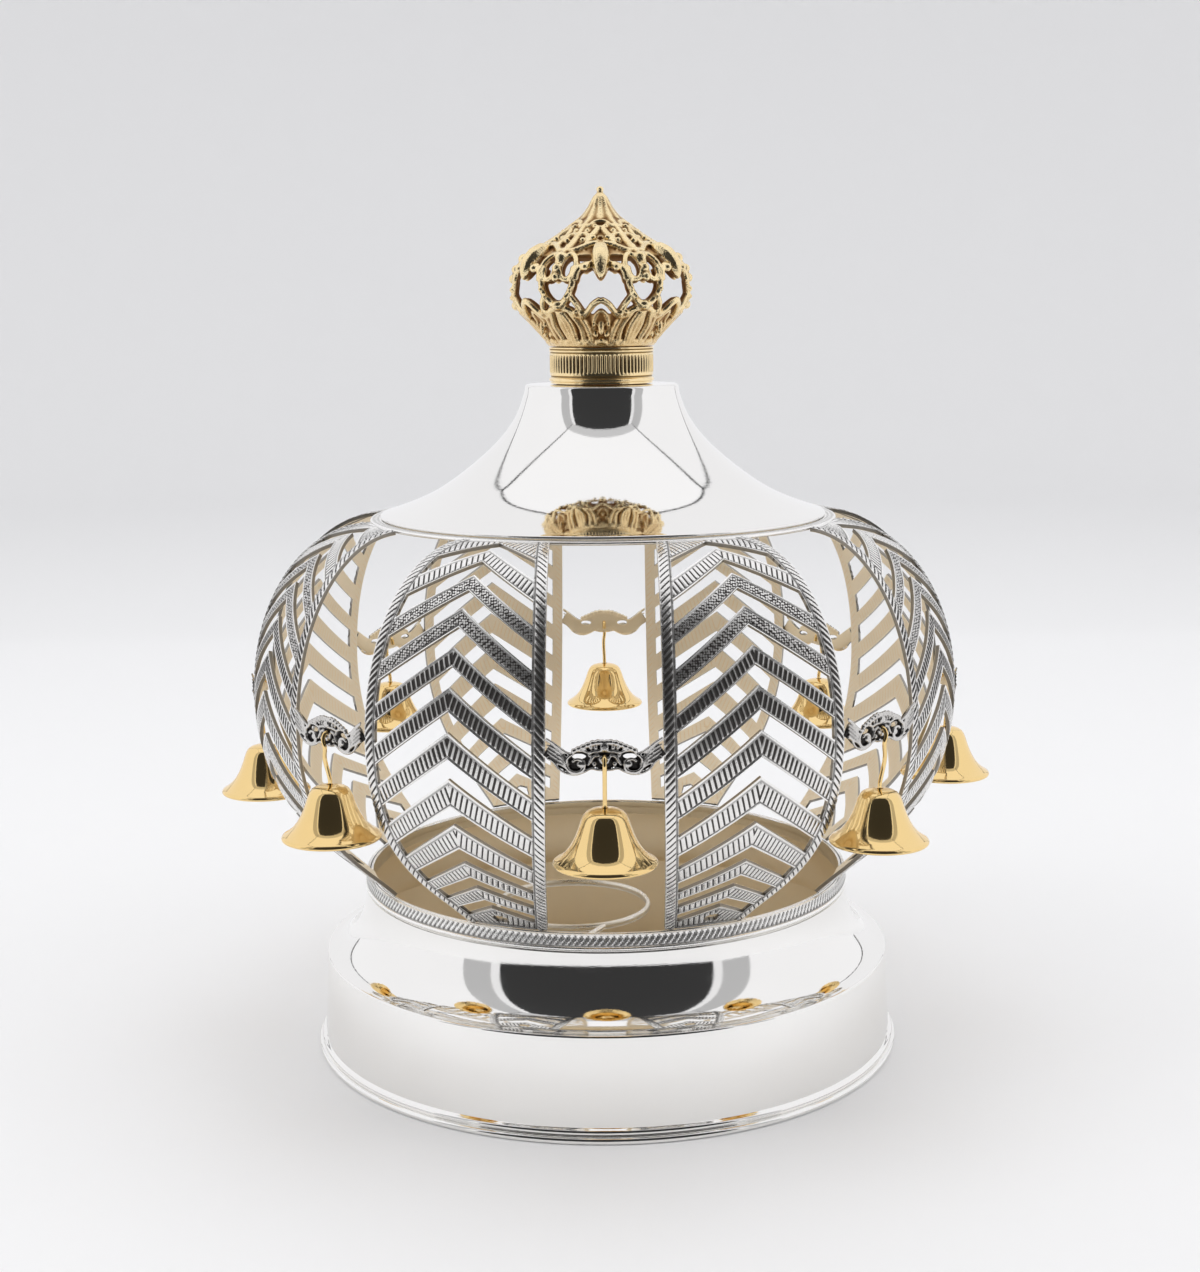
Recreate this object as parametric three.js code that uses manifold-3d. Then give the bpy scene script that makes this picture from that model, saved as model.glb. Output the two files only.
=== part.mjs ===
// Torah crown: a pierced silver cage of eight leaf-shaped panels on a spun hollow base,
// under a spun dome with a cast gilt finial crown, and eight gilt bells hung between the panels.
// Millimetres, +Z up. The origin is the centre of the base's underside, and the front faces -Y.

import * as THREE from "three";
import * as BufferGeometryUtils from "three/addons/utils/BufferGeometryUtils.js";
import Module from "manifold-3d";

const wasm = await Module();
wasm.setup();

// Driving dimensions
const SIDES = 8; // panels, gaps, brackets and bells round the cage
const ROUND = 28; // facets round the large spun pieces
const FIT = 0.3; // clearance between pieces that touch
const SHEET = 1.2; // wall of the spun base and dome

const FOOT_RADIUS = 120;
const FOOT_FLANGE_HEIGHT = 2.6;
const FOOT_BEAD_RADIUS = 118.7;
const FOOT_BEAD_TOP = 5.2;
const WALL_FOOT_RADIUS = 117.2;
const WALL_TOP_RADIUS = 115.1;
const WALL_TOP_HEIGHT = 39.4;
const COVE_TOP_RADIUS = 98.9;
const COVE_TOP_HEIGHT = 65.1;
const NECK_RADIUS = 96.9;
const NECK_TOP_HEIGHT = 72.3;

const BAND_RADIUS = 99.3;
const BAND_TOP_HEIGHT = 71.9;

const CAGE_FOOT = new THREE.Vector2(96.9, 72.6);
const CAGE_WIDEST = new THREE.Vector2(140.8, 148);
const CAGE_TOP = new THREE.Vector2(93.5, 215.5);
const CAGE_WALL = 1.5;
const GAP_HALF_FOOT = 21.6; // half the gap between two panels, at the foot and at the top
const GAP_HALF_TOP = 18.9;
const PANEL_BORDER = 4.6;
const CHEVRON_SLOPE = 0.74; // fall of a chevron for each millimetre from the panel's middle
const SLOT_HEIGHT = 7.2;
// heights along the meridian of the upper point of each slot, from the foot up
const SLOT_POINTS = [23, 39, 54, 71.5, 89, 105.5, 121, 135, 149.5, 163.5, 178.5];

const RING_INNER_RADIUS = 84;
const RING_RADIUS = 93.2;
const RING_HEIGHT = 214.4;
const RING_THICKNESS = 1.6;

const BRIM_RADIUS = 88.5;
const BRIM_HEIGHT = 217.5;
const DOME_TOP_HEIGHT = 268;
// slope of the dome's face in degrees at radii from the brim to the neck
const DOME_RADII = [88.5, 80, 72, 66, 60, 52, 46, 41, 37, 34.5, 32, 30.6];
const DOME_SLOPES = [17, 20.5, 24, 30.5, 35.5, 38.5, 42, 47, 54, 61, 71, 80];

const COLLAR_RADIUS = 20.9;
const COLLAR_WAIST_RADIUS = 20.2;
const COLLAR_BORE_RADIUS = 18.9;
const COLLAR_RIM = 4;
const COLLAR_HEIGHT = 14.3;

const FINIAL_SIDES = 6; // ribs and openings round the finial crown
const FINIAL_ROUND = 18;
const FINIAL_WALL = 2.3;
const FINIAL_WIDEST_RADIUS = 35.9;
const FINIAL_EAVES_HEIGHT = 316;
const TIP_HEIGHT = 345;
const OPENING_WIDTH = 21;
const OPENING_FOOT = 293;
const OPENING_TOP = 312;

const BRACKET_HALF_LENGTH = 19.8;
const BRACKET_MIDDLE = 148.6; // height of the bracket's middle line
const BRACKET_BACK = 138.4; // distance of the bracket's back face from the axis
const BRACKET_THICKNESS = 2.2;
const HOOK_HOLE_RADIUS = 1.7;

const BELL_DISTANCE = 139.9; // from the crown's axis to a bell's axis
const BELL_RADIUS = 18.1;
const BELL_HEIGHT = 20.4;
const BELL_HOLE_RADIUS = 1.5;
const BELL_FACETS = 9;
// the hooks were bent by hand, so the rims hang at slightly different heights, from the front round
const BELL_RIM_HEIGHTS = [110.6, 106.1, 106.9, 108, 108.4, 108, 101.8, 109.3];
const WIRE_RADIUS = 0.8;

const STAVE_RING_RADIUS = 30;
const STAVE_RING_WALL = 1.8;
const STAVE_RING_FACETS = 16;
const STAVE_RING_HEIGHT = 3;
const STAVE_RING_LEVEL = 67.6;
const STAVE_RING_DISTANCE = 53.7;
const STAVE_RING_TURN = THREE.MathUtils.degToRad(-13.8);
const STRUT_REACH = 94.3;

// Materials
function metal(color, roughness) {
  return new THREE.MeshStandardMaterial({ color, roughness, metalness: 1 });
}

const polishedSilver = metal(0xe9e7e1, 0.12);
const engravedSilver = metal(0xbdb8ae, 0.38);
const darkenedSilver = metal(0x6f6a62, 0.45);
const polishedGold = metal(0xd9b566, 0.16);
const antiqueGold = metal(0xb98f4a, 0.3);

// Welds a geometry into one closed body with its faces pointing out.
function weld(geometry) {
  const bare = geometry.clone();
  bare.deleteAttribute("normal");
  bare.deleteAttribute("uv");
  const welded = BufferGeometryUtils.mergeVertices(bare, 1e-4);
  const position = welded.getAttribute("position");
  const corners = [new THREE.Vector3(), new THREE.Vector3(), new THREE.Vector3()];
  const faces = [];
  let volume = 0;
  for (let i = 0; i < welded.index.count; i += 3) {
    const face = [0, 1, 2].map((k) => welded.index.getX(i + k));
    if (new Set(face).size < 3) continue;
    faces.push(face);
    face.forEach((vertex, k) => corners[k].fromBufferAttribute(position, vertex));
    volume += corners[0].dot(corners[1].clone().cross(corners[2]));
  }
  if (volume < 0) faces.forEach((face) => face.reverse());
  welded.setIndex(faces.flat());
  return welded;
}

function toManifold(geometry) {
  const welded = weld(geometry);
  const vertProperties = new Float32Array(welded.getAttribute("position").array);
  const triVerts = new Uint32Array(welded.index.array);
  return new wasm.Manifold(new wasm.Mesh({ numProp: 3, vertProperties, triVerts }));
}

function fromManifold(solid) {
  const mesh = solid.getMesh();
  const geometry = new THREE.BufferGeometry();
  geometry.setAttribute("position", new THREE.BufferAttribute(mesh.vertProperties, 3));
  geometry.setIndex(new THREE.BufferAttribute(mesh.triVerts, 1));
  return geometry;
}

// Spins a profile of radius and height pairs about the upright axis.
function spin(profile, facets) {
  const points = profile.map(([radius, height]) => new THREE.Vector2(radius, height));
  return weld(new THREE.LatheGeometry(points, facets).rotateX(Math.PI / 2));
}

// Spins a profile that closes on itself, such as a ring's section.
function spinRing(section, facets) {
  return spin([...section, section[0]], facets);
}

// Points of a quarter of an ellipse about a centre, the angle measured from straight down.
function quarterArc(centre, across, up, steps) {
  const points = [];
  for (let i = 0; i <= steps; i += 1) {
    const angle = ((i / steps) * Math.PI) / 2;
    points.push([centre[0] - across * Math.sin(angle), centre[1] - up * Math.cos(angle)]);
  }
  return points;
}

function bezierPoints(start, startPull, endPull, end, steps) {
  const vectors = [start, startPull, endPull, end].map(([x, y]) => new THREE.Vector2(x, y));
  return new THREE.CubicBezierCurve(...vectors).getPoints(steps).map((point) => point.toArray());
}

// Base: rolled foot, slightly conical wall, concave cove and short upright neck, open below
function baseGeometry() {
  const coveCentre = [WALL_TOP_RADIUS, COVE_TOP_HEIGHT];
  const coveAcross = WALL_TOP_RADIUS - COVE_TOP_RADIUS;
  const coveUp = COVE_TOP_HEIGHT - WALL_TOP_HEIGHT;
  const cove = quarterArc(coveCentre, coveAcross, coveUp, 4);
  const liningSteps = 2;
  const lining = quarterArc(coveCentre, coveAcross + SHEET, coveUp + SHEET, liningSteps);
  const outside = [
    [FOOT_RADIUS, 0],
    [FOOT_RADIUS, FOOT_FLANGE_HEIGHT],
    [FOOT_BEAD_RADIUS, FOOT_FLANGE_HEIGHT + 0.4],
    [FOOT_BEAD_RADIUS, FOOT_BEAD_TOP - 0.7],
    [WALL_FOOT_RADIUS, FOOT_BEAD_TOP],
    [WALL_TOP_RADIUS + 0.3, WALL_TOP_HEIGHT - 0.6],
    ...cove,
    [NECK_RADIUS, COVE_TOP_HEIGHT + FIT],
    [NECK_RADIUS, NECK_TOP_HEIGHT],
  ];
  const inside = [
    [WALL_FOOT_RADIUS - SHEET, 0],
    [WALL_TOP_RADIUS - SHEET, WALL_TOP_HEIGHT - SHEET],
    ...lining.slice(1, liningSteps),
    [NECK_RADIUS - SHEET, COVE_TOP_HEIGHT - SHEET],
    [NECK_RADIUS - SHEET, NECK_TOP_HEIGHT],
  ];
  return spinRing([...outside, ...inside.reverse()], ROUND);
}

// Lower band: the hatched wire strip soldered round the neck
function lowerBandGeometry() {
  const bore = NECK_RADIUS + FIT;
  const foot = COVE_TOP_HEIGHT + 2 * FIT;
  return spinRing(
    [
      [bore, foot],
      [BAND_RADIUS, foot],
      [BAND_RADIUS - 0.6, BAND_TOP_HEIGHT],
      [bore, BAND_TOP_HEIGHT],
    ],
    ROUND,
  );
}

// Cage meridian: from the foot out to the widest height, and in to the top ring
const meridian = new THREE.CurvePath();
meridian.add(
  new THREE.CubicBezierCurve(
    CAGE_FOOT,
    new THREE.Vector2(112, 88),
    new THREE.Vector2(141.6, 103),
    CAGE_WIDEST,
  ),
);
meridian.add(
  new THREE.CubicBezierCurve(
    CAGE_WIDEST,
    new THREE.Vector2(140.2, 186),
    new THREE.Vector2(120, 214.5),
    CAGE_TOP,
  ),
);
const MERIDIAN_LENGTH = meridian.getLength();

function meridianPoint(along) {
  return meridian.getPoint(along / MERIDIAN_LENGTH);
}

// A point of the cage at a distance along the meridian, at an angle from the front, at a depth.
function cagePoint(along, angle, depth) {
  const point = meridianPoint(along);
  const tangent = meridian.getTangent(along / MERIDIAN_LENGTH);
  const radius = point.x - depth * tangent.y;
  const height = point.y + depth * tangent.x;
  return [radius * Math.sin(angle), -radius * Math.cos(angle), height];
}

function panelHalfAngle(along) {
  const gapHalf = THREE.MathUtils.lerp(GAP_HALF_FOOT, GAP_HALF_TOP, along / MERIDIAN_LENGTH);
  return Math.PI / SIDES - Math.asin(gapHalf / meridianPoint(along).x);
}

function borderAngle(along) {
  return PANEL_BORDER / meridianPoint(along).x;
}

// The height along the meridian at which a chevron, whose point is at `peak`, meets the border.
function chevronEnd(peak) {
  let along = Math.max(peak - 18, 2);
  for (let pass = 0; pass < 4; pass += 1) {
    const width = meridianPoint(along).x * (panelHalfAngle(along) - borderAngle(along));
    along = Math.max(peak - CHEVRON_SLOPE * width, 2);
  }
  return along;
}

// The rows of a panel: its foot, the lower and upper edge of each slot, and its top.
function panelRows() {
  const rows = [{ middle: 0, side: 0 }];
  SLOT_POINTS.forEach((peak) => {
    const lower = peak - SLOT_HEIGHT;
    rows.push({ middle: lower, side: chevronEnd(lower) });
    rows.push({ middle: peak, side: chevronEnd(peak) + 0.8 });
  });
  rows.push({ middle: MERIDIAN_LENGTH, side: MERIDIAN_LENGTH });
  return rows;
}

// Panel: a leaf-shaped plate bent to the cage, two borders joined by chevron bars
function panelGeometry() {
  const rows = panelRows();
  const columns = 5;
  const positions = [];
  const indices = [];
  rows.forEach(({ middle, side }) => {
    const half = panelHalfAngle(side);
    const inner = half - borderAngle(side);
    [-half, -inner, 0, inner, half].forEach((angle) => {
      const along = angle === 0 ? middle : side;
      positions.push(...cagePoint(along, angle, 0), ...cagePoint(along, angle, CAGE_WALL));
    });
  });
  const isSolid = (row, column) => {
    if (row < 0 || row >= rows.length - 1 || column < 0 || column >= columns - 1) return false;
    return column === 0 || column === columns - 2 || row % 2 === 0;
  };
  const vertex = (row, column, layer) => (row * columns + column) * 2 + layer;
  const quad = (a, b, c, d) => indices.push(a, b, c, a, c, d);
  for (let row = 0; row < rows.length - 1; row += 1) {
    for (let column = 0; column < columns - 1; column += 1) {
      if (!isSolid(row, column)) continue;
      const corners = [
        [row, column],
        [row, column + 1],
        [row + 1, column + 1],
        [row + 1, column],
      ];
      const neighbours = [
        [row - 1, column],
        [row, column + 1],
        [row + 1, column],
        [row, column - 1],
      ];
      const outer = corners.map(([r, c]) => vertex(r, c, 0));
      const inner = corners.map(([r, c]) => vertex(r, c, 1));
      quad(outer[0], outer[1], outer[2], outer[3]);
      indices.push(inner[0], inner[2], inner[1], inner[0], inner[3], inner[2]);
      neighbours.forEach(([r, c], k) => {
        const next = (k + 1) % 4;
        if (!isSolid(r, c)) quad(outer[next], outer[k], inner[k], inner[next]);
      });
    }
  }
  const geometry = new THREE.BufferGeometry();
  geometry.setAttribute("position", new THREE.Float32BufferAttribute(positions, 3));
  geometry.setIndex(indices);
  return weld(geometry);
}

// Top ring: the flat ring that the panels' upper ends meet
function topRingGeometry() {
  return spinRing(
    [
      [RING_INNER_RADIUS, RING_HEIGHT],
      [RING_RADIUS, RING_HEIGHT],
      [RING_RADIUS, RING_HEIGHT + RING_THICKNESS],
      [RING_INNER_RADIUS, RING_HEIGHT + RING_THICKNESS],
    ],
    ROUND,
  );
}

// Slope of the dome's face at a radius, in radians
function domeSlope(radius) {
  const next = Math.max(1, DOME_RADII.findIndex((mark) => mark <= radius));
  const share = (DOME_RADII[next - 1] - radius) / (DOME_RADII[next - 1] - DOME_RADII[next]);
  return THREE.MathUtils.degToRad(THREE.MathUtils.lerp(DOME_SLOPES[next - 1], DOME_SLOPES[next], share));
}

// Points of the dome's curve from the brim to the neck, a distance under its outer face
function domeCurve(inset, marks) {
  const step = 0.1;
  const points = [];
  let height = BRIM_HEIGHT;
  for (let radius = BRIM_RADIUS; radius > DOME_RADII.at(-1) - step / 2; radius -= step) {
    const slope = domeSlope(Math.max(radius, DOME_RADII.at(-1)));
    if (marks.some((mark) => Math.abs(mark - radius) < step / 2)) {
      points.push([radius - inset * Math.sin(slope), height - inset * Math.cos(slope)]);
    }
    height += step * Math.tan(slope);
  }
  return points;
}

// Dome: spun trumpet-shaped cap, closed at the top of its neck and open below
function domeGeometry() {
  const flare = domeCurve(0, [88.5, 68, 49, 39, 33.5, 30.6]);
  const lining = domeCurve(SHEET, [88.5, 68, 49, 39, 33.5, 30.6]);
  const outside = [...flare, [DOME_RADII.at(-1) - 1, DOME_TOP_HEIGHT], [0, DOME_TOP_HEIGHT]];
  const inside = [...lining, [0, lining.at(-1)[1]]];
  return spin([...outside.reverse(), ...inside], ROUND);
}

// Finial collar: a short ring with a rim above and below a ribbed waist
function collarGeometry() {
  const foot = DOME_TOP_HEIGHT + FIT;
  const top = foot + COLLAR_HEIGHT;
  return spinRing(
    [
      [COLLAR_BORE_RADIUS, foot],
      [COLLAR_RADIUS, foot],
      [COLLAR_RADIUS, foot + COLLAR_RIM],
      [COLLAR_WAIST_RADIUS, foot + COLLAR_RIM + 0.4],
      [COLLAR_WAIST_RADIUS, top - COLLAR_RIM - 0.2],
      [COLLAR_RADIUS, top - COLLAR_RIM + 0.2],
      [COLLAR_RADIUS, top],
      [COLLAR_BORE_RADIUS, top],
    ],
    FINIAL_ROUND,
  );
}

// One opening of the finial crown: a waisted star, wide at the middle and pointed below
function finialOpening() {
  const half = OPENING_WIDTH / 2;
  const middle = (OPENING_FOOT + OPENING_TOP) / 2;
  const shape = new THREE.Shape();
  shape.moveTo(0, OPENING_FOOT + 4.5);
  shape.lineTo(half * 0.62, OPENING_FOOT);
  shape.lineTo(half, middle - 2);
  shape.lineTo(half * 0.8, OPENING_TOP - 1.5);
  shape.lineTo(0, OPENING_TOP);
  shape.lineTo(-half * 0.8, OPENING_TOP - 1.5);
  shape.lineTo(-half, middle - 2);
  shape.lineTo(-half * 0.62, OPENING_FOOT);
  shape.closePath();
  const depth = 2 * FINIAL_WIDEST_RADIUS + 8;
  const cutter = new THREE.ExtrudeGeometry(shape, { depth, bevelEnabled: false });
  return cutter.rotateX(Math.PI / 2).translate(0, depth / 2, 0);
}

// Finial crown: hollow cast bulb with six openings under a pointed roof and spire
function finialGeometry() {
  const foot = DOME_TOP_HEIGHT + COLLAR_HEIGHT + 2 * FIT;
  const outside = [
    [0, TIP_HEIGHT],
    [4.4, 337.4],
    [10.4, 331],
    [20.5, 323.2],
    [29.6, FINIAL_EAVES_HEIGHT + 1.8],
    [34.4, 312],
    [FINIAL_WIDEST_RADIUS, 305.5],
    [34.2, 299],
    [27.7, 291],
    [20.6, foot],
  ];
  const inside = [
    [18.4, foot],
    [25.4, 292],
    [FINIAL_WIDEST_RADIUS - FINIAL_WALL, 304],
    [31.8, 311.4],
    [19, 320.6],
    [0, 327],
  ];
  let solid = toManifold(spin([...outside, ...inside], FINIAL_ROUND));
  const turn = Math.PI / (FINIAL_SIDES / 2);
  for (let i = 0; i < FINIAL_SIDES / 2; i += 1) {
    solid = solid.subtract(toManifold(finialOpening().rotateZ(i * turn)));
  }
  return fromManifold(solid);
}

// Bracket: the cast scroll bar between two panels, with a hole for the bell's hook
function bracketGeometry() {
  const half = BRACKET_HALF_LENGTH;
  const shape = new THREE.Shape();
  shape.moveTo(-half, -1);
  shape.quadraticCurveTo(-15.5, -3.2, -12.5, -4.6);
  shape.quadraticCurveTo(-9, -6.2, -5.6, -3.6);
  shape.lineTo(0, -4.4);
  shape.lineTo(5.6, -3.6);
  shape.quadraticCurveTo(9, -6.2, 12.5, -4.6);
  shape.quadraticCurveTo(15.5, -3.2, half, -1);
  shape.lineTo(half, 6.8);
  shape.quadraticCurveTo(15, 3.2, 11.5, 1.6);
  shape.lineTo(9.6, 3.8);
  shape.quadraticCurveTo(0, 7, -9.6, 3.8);
  shape.lineTo(-11.5, 1.6);
  shape.quadraticCurveTo(-15, 3.2, -half, 6.8);
  shape.closePath();
  const hole = new THREE.Path();
  hole.absarc(0, -0.4, HOOK_HOLE_RADIUS, 0, 2 * Math.PI, true);
  shape.holes.push(hole);
  const plate = new THREE.ExtrudeGeometry(shape, {
    depth: BRACKET_THICKNESS,
    curveSegments: 2,
    bevelEnabled: false,
  });
  plate.rotateX(Math.PI / 2).translate(0, -BRACKET_BACK, BRACKET_MIDDLE);
  return weld(plate);
}

// Bell: a thin spun cup with a round shoulder, a flared lip and a hole for its hook
function bellGeometry() {
  return spinRing(
    [
      [BELL_HOLE_RADIUS, BELL_HEIGHT],
      [7.3, BELL_HEIGHT - 1.6],
      [11.8, 6.4],
      [BELL_RADIUS, 0.8],
      [BELL_RADIUS - 0.9, 0],
      [10.9, 6],
      [6.5, BELL_HEIGHT - 2.6],
      [BELL_HOLE_RADIUS, BELL_HEIGHT - 1.3],
    ],
    BELL_FACETS,
  );
}

// Hook: gilt wire through the bracket's hole, down through the bell's crown to a bent foot
function hookGeometry(bellTop) {
  const holeHeight = BRACKET_MIDDLE - 0.4;
  const face = BRACKET_BACK + BRACKET_THICKNESS;
  const route = [
    [1.9, BELL_DISTANCE, bellTop - 3.2],
    [0, BELL_DISTANCE, bellTop - 2.6],
    [0, BELL_DISTANCE, bellTop + 2],
    [0, face + 1.5, holeHeight - 5],
    [0, face + 1.6, holeHeight - 1.6],
    [0, face - 0.6, holeHeight + 0.2],
    [0, BRACKET_BACK - 1.2, holeHeight - 0.2],
    [0, BRACKET_BACK - 1.7, holeHeight - 2.6],
  ];
  const points = route.map(([x, distance, height]) => new THREE.Vector3(x, -distance, height));
  const path = new THREE.CatmullRomCurve3(points, false, "centripetal");
  const section = new THREE.Shape();
  section.absarc(0, 0, WIRE_RADIUS, 0, 2 * Math.PI, false);
  const wire = new THREE.ExtrudeGeometry(section, {
    steps: 8,
    curveSegments: 2,
    bevelEnabled: false,
    extrudePath: path,
  });
  return weld(wire);
}

// Stave ring: a strip-metal ring that a scroll's stave passes through, on two struts
function staveRingGeometry() {
  const inner = STAVE_RING_RADIUS - STAVE_RING_WALL;
  const top = STAVE_RING_LEVEL + STAVE_RING_HEIGHT;
  const section = [
    [inner, STAVE_RING_LEVEL],
    [STAVE_RING_RADIUS, STAVE_RING_LEVEL],
    [STAVE_RING_RADIUS, top],
    [inner, top],
  ];
  const ring = spinRing(section, STAVE_RING_FACETS).translate(0, -STAVE_RING_DISTANCE, 0);
  let solid = toManifold(ring);
  [-1, 1].forEach((side) => {
    const start = new THREE.Vector2(side * 18, -STAVE_RING_DISTANCE - 22.8);
    const end = new THREE.Vector2(side * 14, -Math.sqrt(STRUT_REACH ** 2 - 14 ** 2));
    const span = end.clone().sub(start);
    const strut = new THREE.BoxGeometry(span.length(), STAVE_RING_WALL, STAVE_RING_HEIGHT - 0.6);
    strut.rotateZ(span.angle());
    strut.translate((start.x + end.x) / 2, (start.y + end.y) / 2, (STAVE_RING_LEVEL + top) / 2);
    solid = solid.add(toManifold(strut));
  });
  return fromManifold(solid);
}

// Assembly
const crown = new THREE.Group();

function place(parent, name, geometry, material) {
  const mesh = new THREE.Mesh(geometry, material);
  mesh.name = name;
  parent.add(mesh);
  return mesh;
}

place(crown, "base", baseGeometry(), polishedSilver);
place(crown, "lower_band", lowerBandGeometry(), engravedSilver);
place(crown, "top_ring", topRingGeometry(), engravedSilver);
place(crown, "dome", domeGeometry(), polishedSilver);
place(crown, "finial_collar", collarGeometry(), polishedGold);
place(crown, "finial_crown", finialGeometry(), antiqueGold);

const panel = panelGeometry();
const bracket = bracketGeometry();
const bell = bellGeometry();
for (let i = 0; i < SIDES; i += 1) {
  const number = i + 1;
  const gap = new THREE.Group();
  gap.rotation.z = (i * 2 * Math.PI) / SIDES;
  crown.add(gap);
  const rim = BELL_RIM_HEIGHTS[i];
  place(gap, `bracket_${number}`, bracket, darkenedSilver);
  place(gap, `hook_${number}`, hookGeometry(rim + BELL_HEIGHT), polishedGold);
  place(gap, `bell_${number}`, bell, polishedGold).position.set(0, -BELL_DISTANCE, rim);
  const leaf = place(crown, `panel_${number}`, panel, engravedSilver);
  leaf.rotation.z = ((i + 0.5) * 2 * Math.PI) / SIDES;
}

place(crown, "stave_ring", staveRingGeometry(), polishedSilver).rotation.z = STAVE_RING_TURN;

export default crown;
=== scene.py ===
"""A silver Torah crown with a pierced cage, gilt bells and a gilt finial crown."""

from __future__ import annotations

import sys
import logging
import math
from dataclasses import dataclass, field
from enum import Enum
from typing import Iterable, Sequence

import bpy
import numpy as np
from mathutils import Matrix, Vector


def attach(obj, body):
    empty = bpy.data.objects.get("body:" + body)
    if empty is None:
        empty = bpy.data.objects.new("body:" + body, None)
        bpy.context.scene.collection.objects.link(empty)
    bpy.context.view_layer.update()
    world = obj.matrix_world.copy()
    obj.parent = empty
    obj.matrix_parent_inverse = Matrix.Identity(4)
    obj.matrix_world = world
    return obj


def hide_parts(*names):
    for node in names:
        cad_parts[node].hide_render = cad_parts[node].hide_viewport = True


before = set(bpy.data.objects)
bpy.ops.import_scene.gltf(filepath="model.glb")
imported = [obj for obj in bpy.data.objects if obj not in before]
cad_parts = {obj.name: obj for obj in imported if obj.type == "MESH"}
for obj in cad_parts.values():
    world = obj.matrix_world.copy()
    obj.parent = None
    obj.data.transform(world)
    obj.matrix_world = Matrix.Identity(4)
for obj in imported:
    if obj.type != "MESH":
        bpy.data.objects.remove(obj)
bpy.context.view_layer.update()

LOG = logging.getLogger("torah_crown")
MM = 0.001
SIDES = 8
TURN = 2 * math.pi / SIDES
Profile = Sequence[tuple[float, float]]


# ---------------------------------------------------------------- finishes


class Channel(Enum):
    """Which part of the tooling attribute a shader reads; on the finial crown that attribute also carries
    painted shade.
    """

    CUT = "Red"
    DARK = "Green"
    INNER = "Blue"


def node(tree: bpy.types.NodeTree, kind: str, **settings: object) -> bpy.types.Node:
    """Adds a shader node.

    Args:
        tree: The material's node tree.
        kind: The node's type name.
        settings: Properties of the node to set.

    Returns:
        The new node.
    """
    made = tree.nodes.new(kind)
    for name, value in settings.items():
        setattr(made, name, value)
    return made


def new_material(name: str) -> tuple[bpy.types.Material, bpy.types.NodeTree, bpy.types.Node]:
    """Makes a material.

    Args:
        name: The material's name.

    Returns:
        The material, its node tree and its Principled shader.
    """
    material = bpy.data.materials.new(name)
    material.use_nodes = True
    tree = material.node_tree
    return material, tree, tree.nodes["Principled BSDF"]


def noise(
    tree: bpy.types.NodeTree, scale: float, detail: float, stretch: tuple[float, ...]
) -> bpy.types.Node:
    """Adds a noise texture on Object coordinates.

    Args:
        tree: The material's node tree.
        scale: Noise cells to a metre.
        detail: The noise's octaves.
        stretch: Scale of the coordinates along X, Y and Z.

    Returns:
        The noise node.
    """
    place = node(tree, "ShaderNodeTexCoord")
    mapping = node(tree, "ShaderNodeMapping")
    mapping.inputs["Scale"].default_value = stretch
    texture = node(tree, "ShaderNodeTexNoise")
    texture.inputs["Scale"].default_value = scale
    texture.inputs["Detail"].default_value = detail
    tree.links.new(place.outputs["Object"], mapping.inputs["Vector"])
    tree.links.new(mapping.outputs["Vector"], texture.inputs["Vector"])
    return texture


def ranged(
    tree: bpy.types.NodeTree, source: bpy.types.NodeSocket, low: float, high: float
) -> bpy.types.NodeSocket:
    """Maps a value between 0.3 and 0.7 onto a range.

    Args:
        tree: The material's node tree.
        source: The socket to read.
        low: Result at 0.3 and below.
        high: Result at 0.7 and above.

    Returns:
        The mapped value's socket.
    """
    span = node(tree, "ShaderNodeMapRange")
    span.inputs["From Min"].default_value = 0.3
    span.inputs["From Max"].default_value = 0.7
    span.inputs["To Min"].default_value = low
    span.inputs["To Max"].default_value = high
    tree.links.new(source, span.inputs["Value"])
    return span.outputs["Result"]


def tooling_and_shade(tree: bpy.types.NodeTree, channel: Channel) -> bpy.types.NodeSocket:
    """Reads one channel of a piece's tooling attribute, which on the finial crown also carries painted shade.

    Args:
        tree: The material's node tree.
        channel: The channel to read.

    Returns:
        The channel's socket.
    """
    marks = node(tree, "ShaderNodeAttribute", attribute_name="tooling_and_shade")
    parts = node(tree, "ShaderNodeSeparateColor")
    tree.links.new(marks.outputs["Color"], parts.inputs["Color"])
    return parts.outputs[channel.value]


def blend(
    tree: bpy.types.NodeTree,
    factor: bpy.types.NodeSocket,
    first: bpy.types.NodeSocket | tuple[float, ...],
    second: bpy.types.NodeSocket | tuple[float, ...],
) -> bpy.types.NodeSocket:
    """Mixes two colours.

    Args:
        tree: The material's node tree.
        factor: 0 for the first colour and 1 for the second.
        first: A socket or a colour.
        second: A socket or a colour.

    Returns:
        The mixed colour's socket.
    """
    mix = node(tree, "ShaderNodeMix", data_type="RGBA")
    tree.links.new(factor, mix.inputs[0])
    for value, socket in ((first, mix.inputs[6]), (second, mix.inputs[7])):
        if isinstance(value, bpy.types.NodeSocket):
            tree.links.new(value, socket)
        else:
            socket.default_value = (*value, 1.0)
    return mix.outputs[2]


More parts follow.
